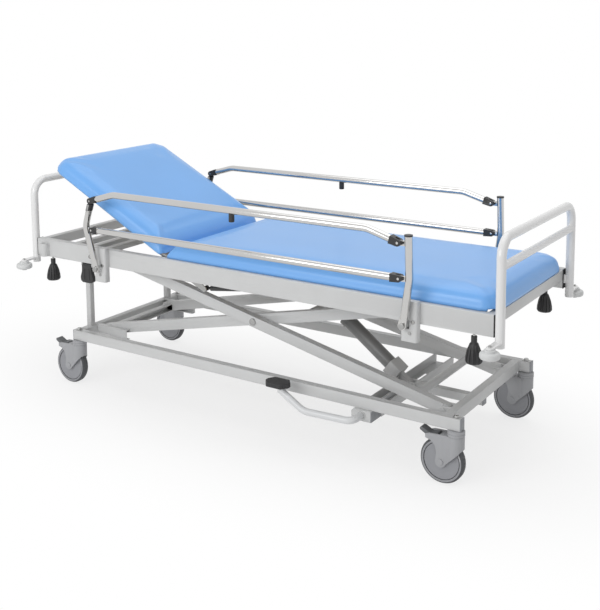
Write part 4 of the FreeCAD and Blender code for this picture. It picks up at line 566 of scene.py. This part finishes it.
bpy.ops.object.select_all(action="DESELECT")
bpy.ops.mesh.primitive_plane_add(size=80.0, location=(0.0, 0.0, -0.0005))
floor = bpy.context.object
floor.name = "studio_floor"
paper = bpy.data.materials.new("studio_paper")
paper.use_nodes = True
tree = paper.node_tree
shader = tree.nodes["Principled BSDF"]
shader.inputs["Base Color"].default_value = (0.93, 0.93, 0.93, 1)
shader.inputs["Roughness"].default_value = 0.8
glow = tree.nodes.new("ShaderNodeEmission")
glow.inputs["Strength"].default_value = 1.0
place = tree.nodes.new("ShaderNodeTexCoord")
narrowed = tree.nodes.new("ShaderNodeVectorMath")
narrowed.operation = "MULTIPLY"
narrowed.inputs[1].default_value = (0.5, 1.0, 1.0)
tree.links.new(place.outputs["Object"], narrowed.inputs[0])
reach = tree.nodes.new("ShaderNodeVectorMath")
reach.operation = "LENGTH"
tree.links.new(narrowed.outputs["Vector"], reach.inputs[0])
fade = tree.nodes.new("ShaderNodeMapRange")
fade.interpolation_type = "SMOOTHSTEP"
fade.inputs["From Min"].default_value = 0.35
fade.inputs["From Max"].default_value = 1.0
fade.inputs["To Min"].default_value = 0.72
fade.inputs["To Max"].default_value = 1.0
tree.links.new(reach.outputs["Value"], fade.inputs["Value"])
rays = tree.nodes.new("ShaderNodeLightPath").outputs
seen = joined(tree, "MAXIMUM", rays["Is Camera Ray"], rays["Is Glossy Ray"])
share = joined(tree, "MULTIPLY", seen, fade.outputs["Result"])
mix = tree.nodes.new("ShaderNodeMixShader")
tree.links.new(share, mix.inputs["Fac"])
tree.links.new(shader.outputs["BSDF"], mix.inputs[1])
tree.links.new(glow.outputs["Emission"], mix.inputs[2])
tree.links.new(mix.outputs["Shader"], tree.nodes["Material Output"].inputs["Surface"])
floor.data.materials.append(paper)

# The room: white all round, at a plain level for the object and full white for the view.
room = bpy.data.worlds.new("white_room")
bpy.context.scene.world = room
room.use_nodes = True
tree = room.node_tree
fill = tree.nodes["Background"]
fill.inputs["Color"].default_value = (1, 1, 1, 1)
fill.inputs["Strength"].default_value = 0.50
white = tree.nodes.new("ShaderNodeBackground")
white.inputs["Color"].default_value = (1, 1, 1, 1)
white.inputs["Strength"].default_value = 1.0
rays = tree.nodes.new("ShaderNodeLightPath").outputs
seen = joined(tree, "MAXIMUM", rays["Is Camera Ray"], rays["Is Transmission Ray"])
mirrored = joined(tree, "MAXIMUM", seen, rays["Is Glossy Ray"])
mix = tree.nodes.new("ShaderNodeMixShader")
tree.links.new(mirrored, mix.inputs["Fac"])
tree.links.new(fill.outputs["Background"], mix.inputs[1])
tree.links.new(white.outputs["Background"], mix.inputs[2])
tree.links.new(mix.outputs["Shader"], tree.nodes["World Output"].inputs["Surface"])

# Two soft boxes: a broad one overhead, and one in front of the left side.
for name, place, aim, size, power in (("overhead_box", (0.3, 0.4, 3.4), (0.0, 0.0, 0.4), (4.0, 2.6), 40.0),
                                      ("side_box", (-0.6, -3.8, 2.0), (0.0, 0.0, 0.5), (3.0, 1.6), 60.0)):
    bpy.ops.object.light_add(type="AREA", location=place)
    lamp = bpy.context.object
    lamp.name = name
    lamp.data.shape = "RECTANGLE"
    lamp.data.size, lamp.data.size_y = size
    lamp.data.energy = power
    lamp.rotation_euler = (Vector(aim) - Vector(place)).to_track_quat("-Z", "Y").to_euler()
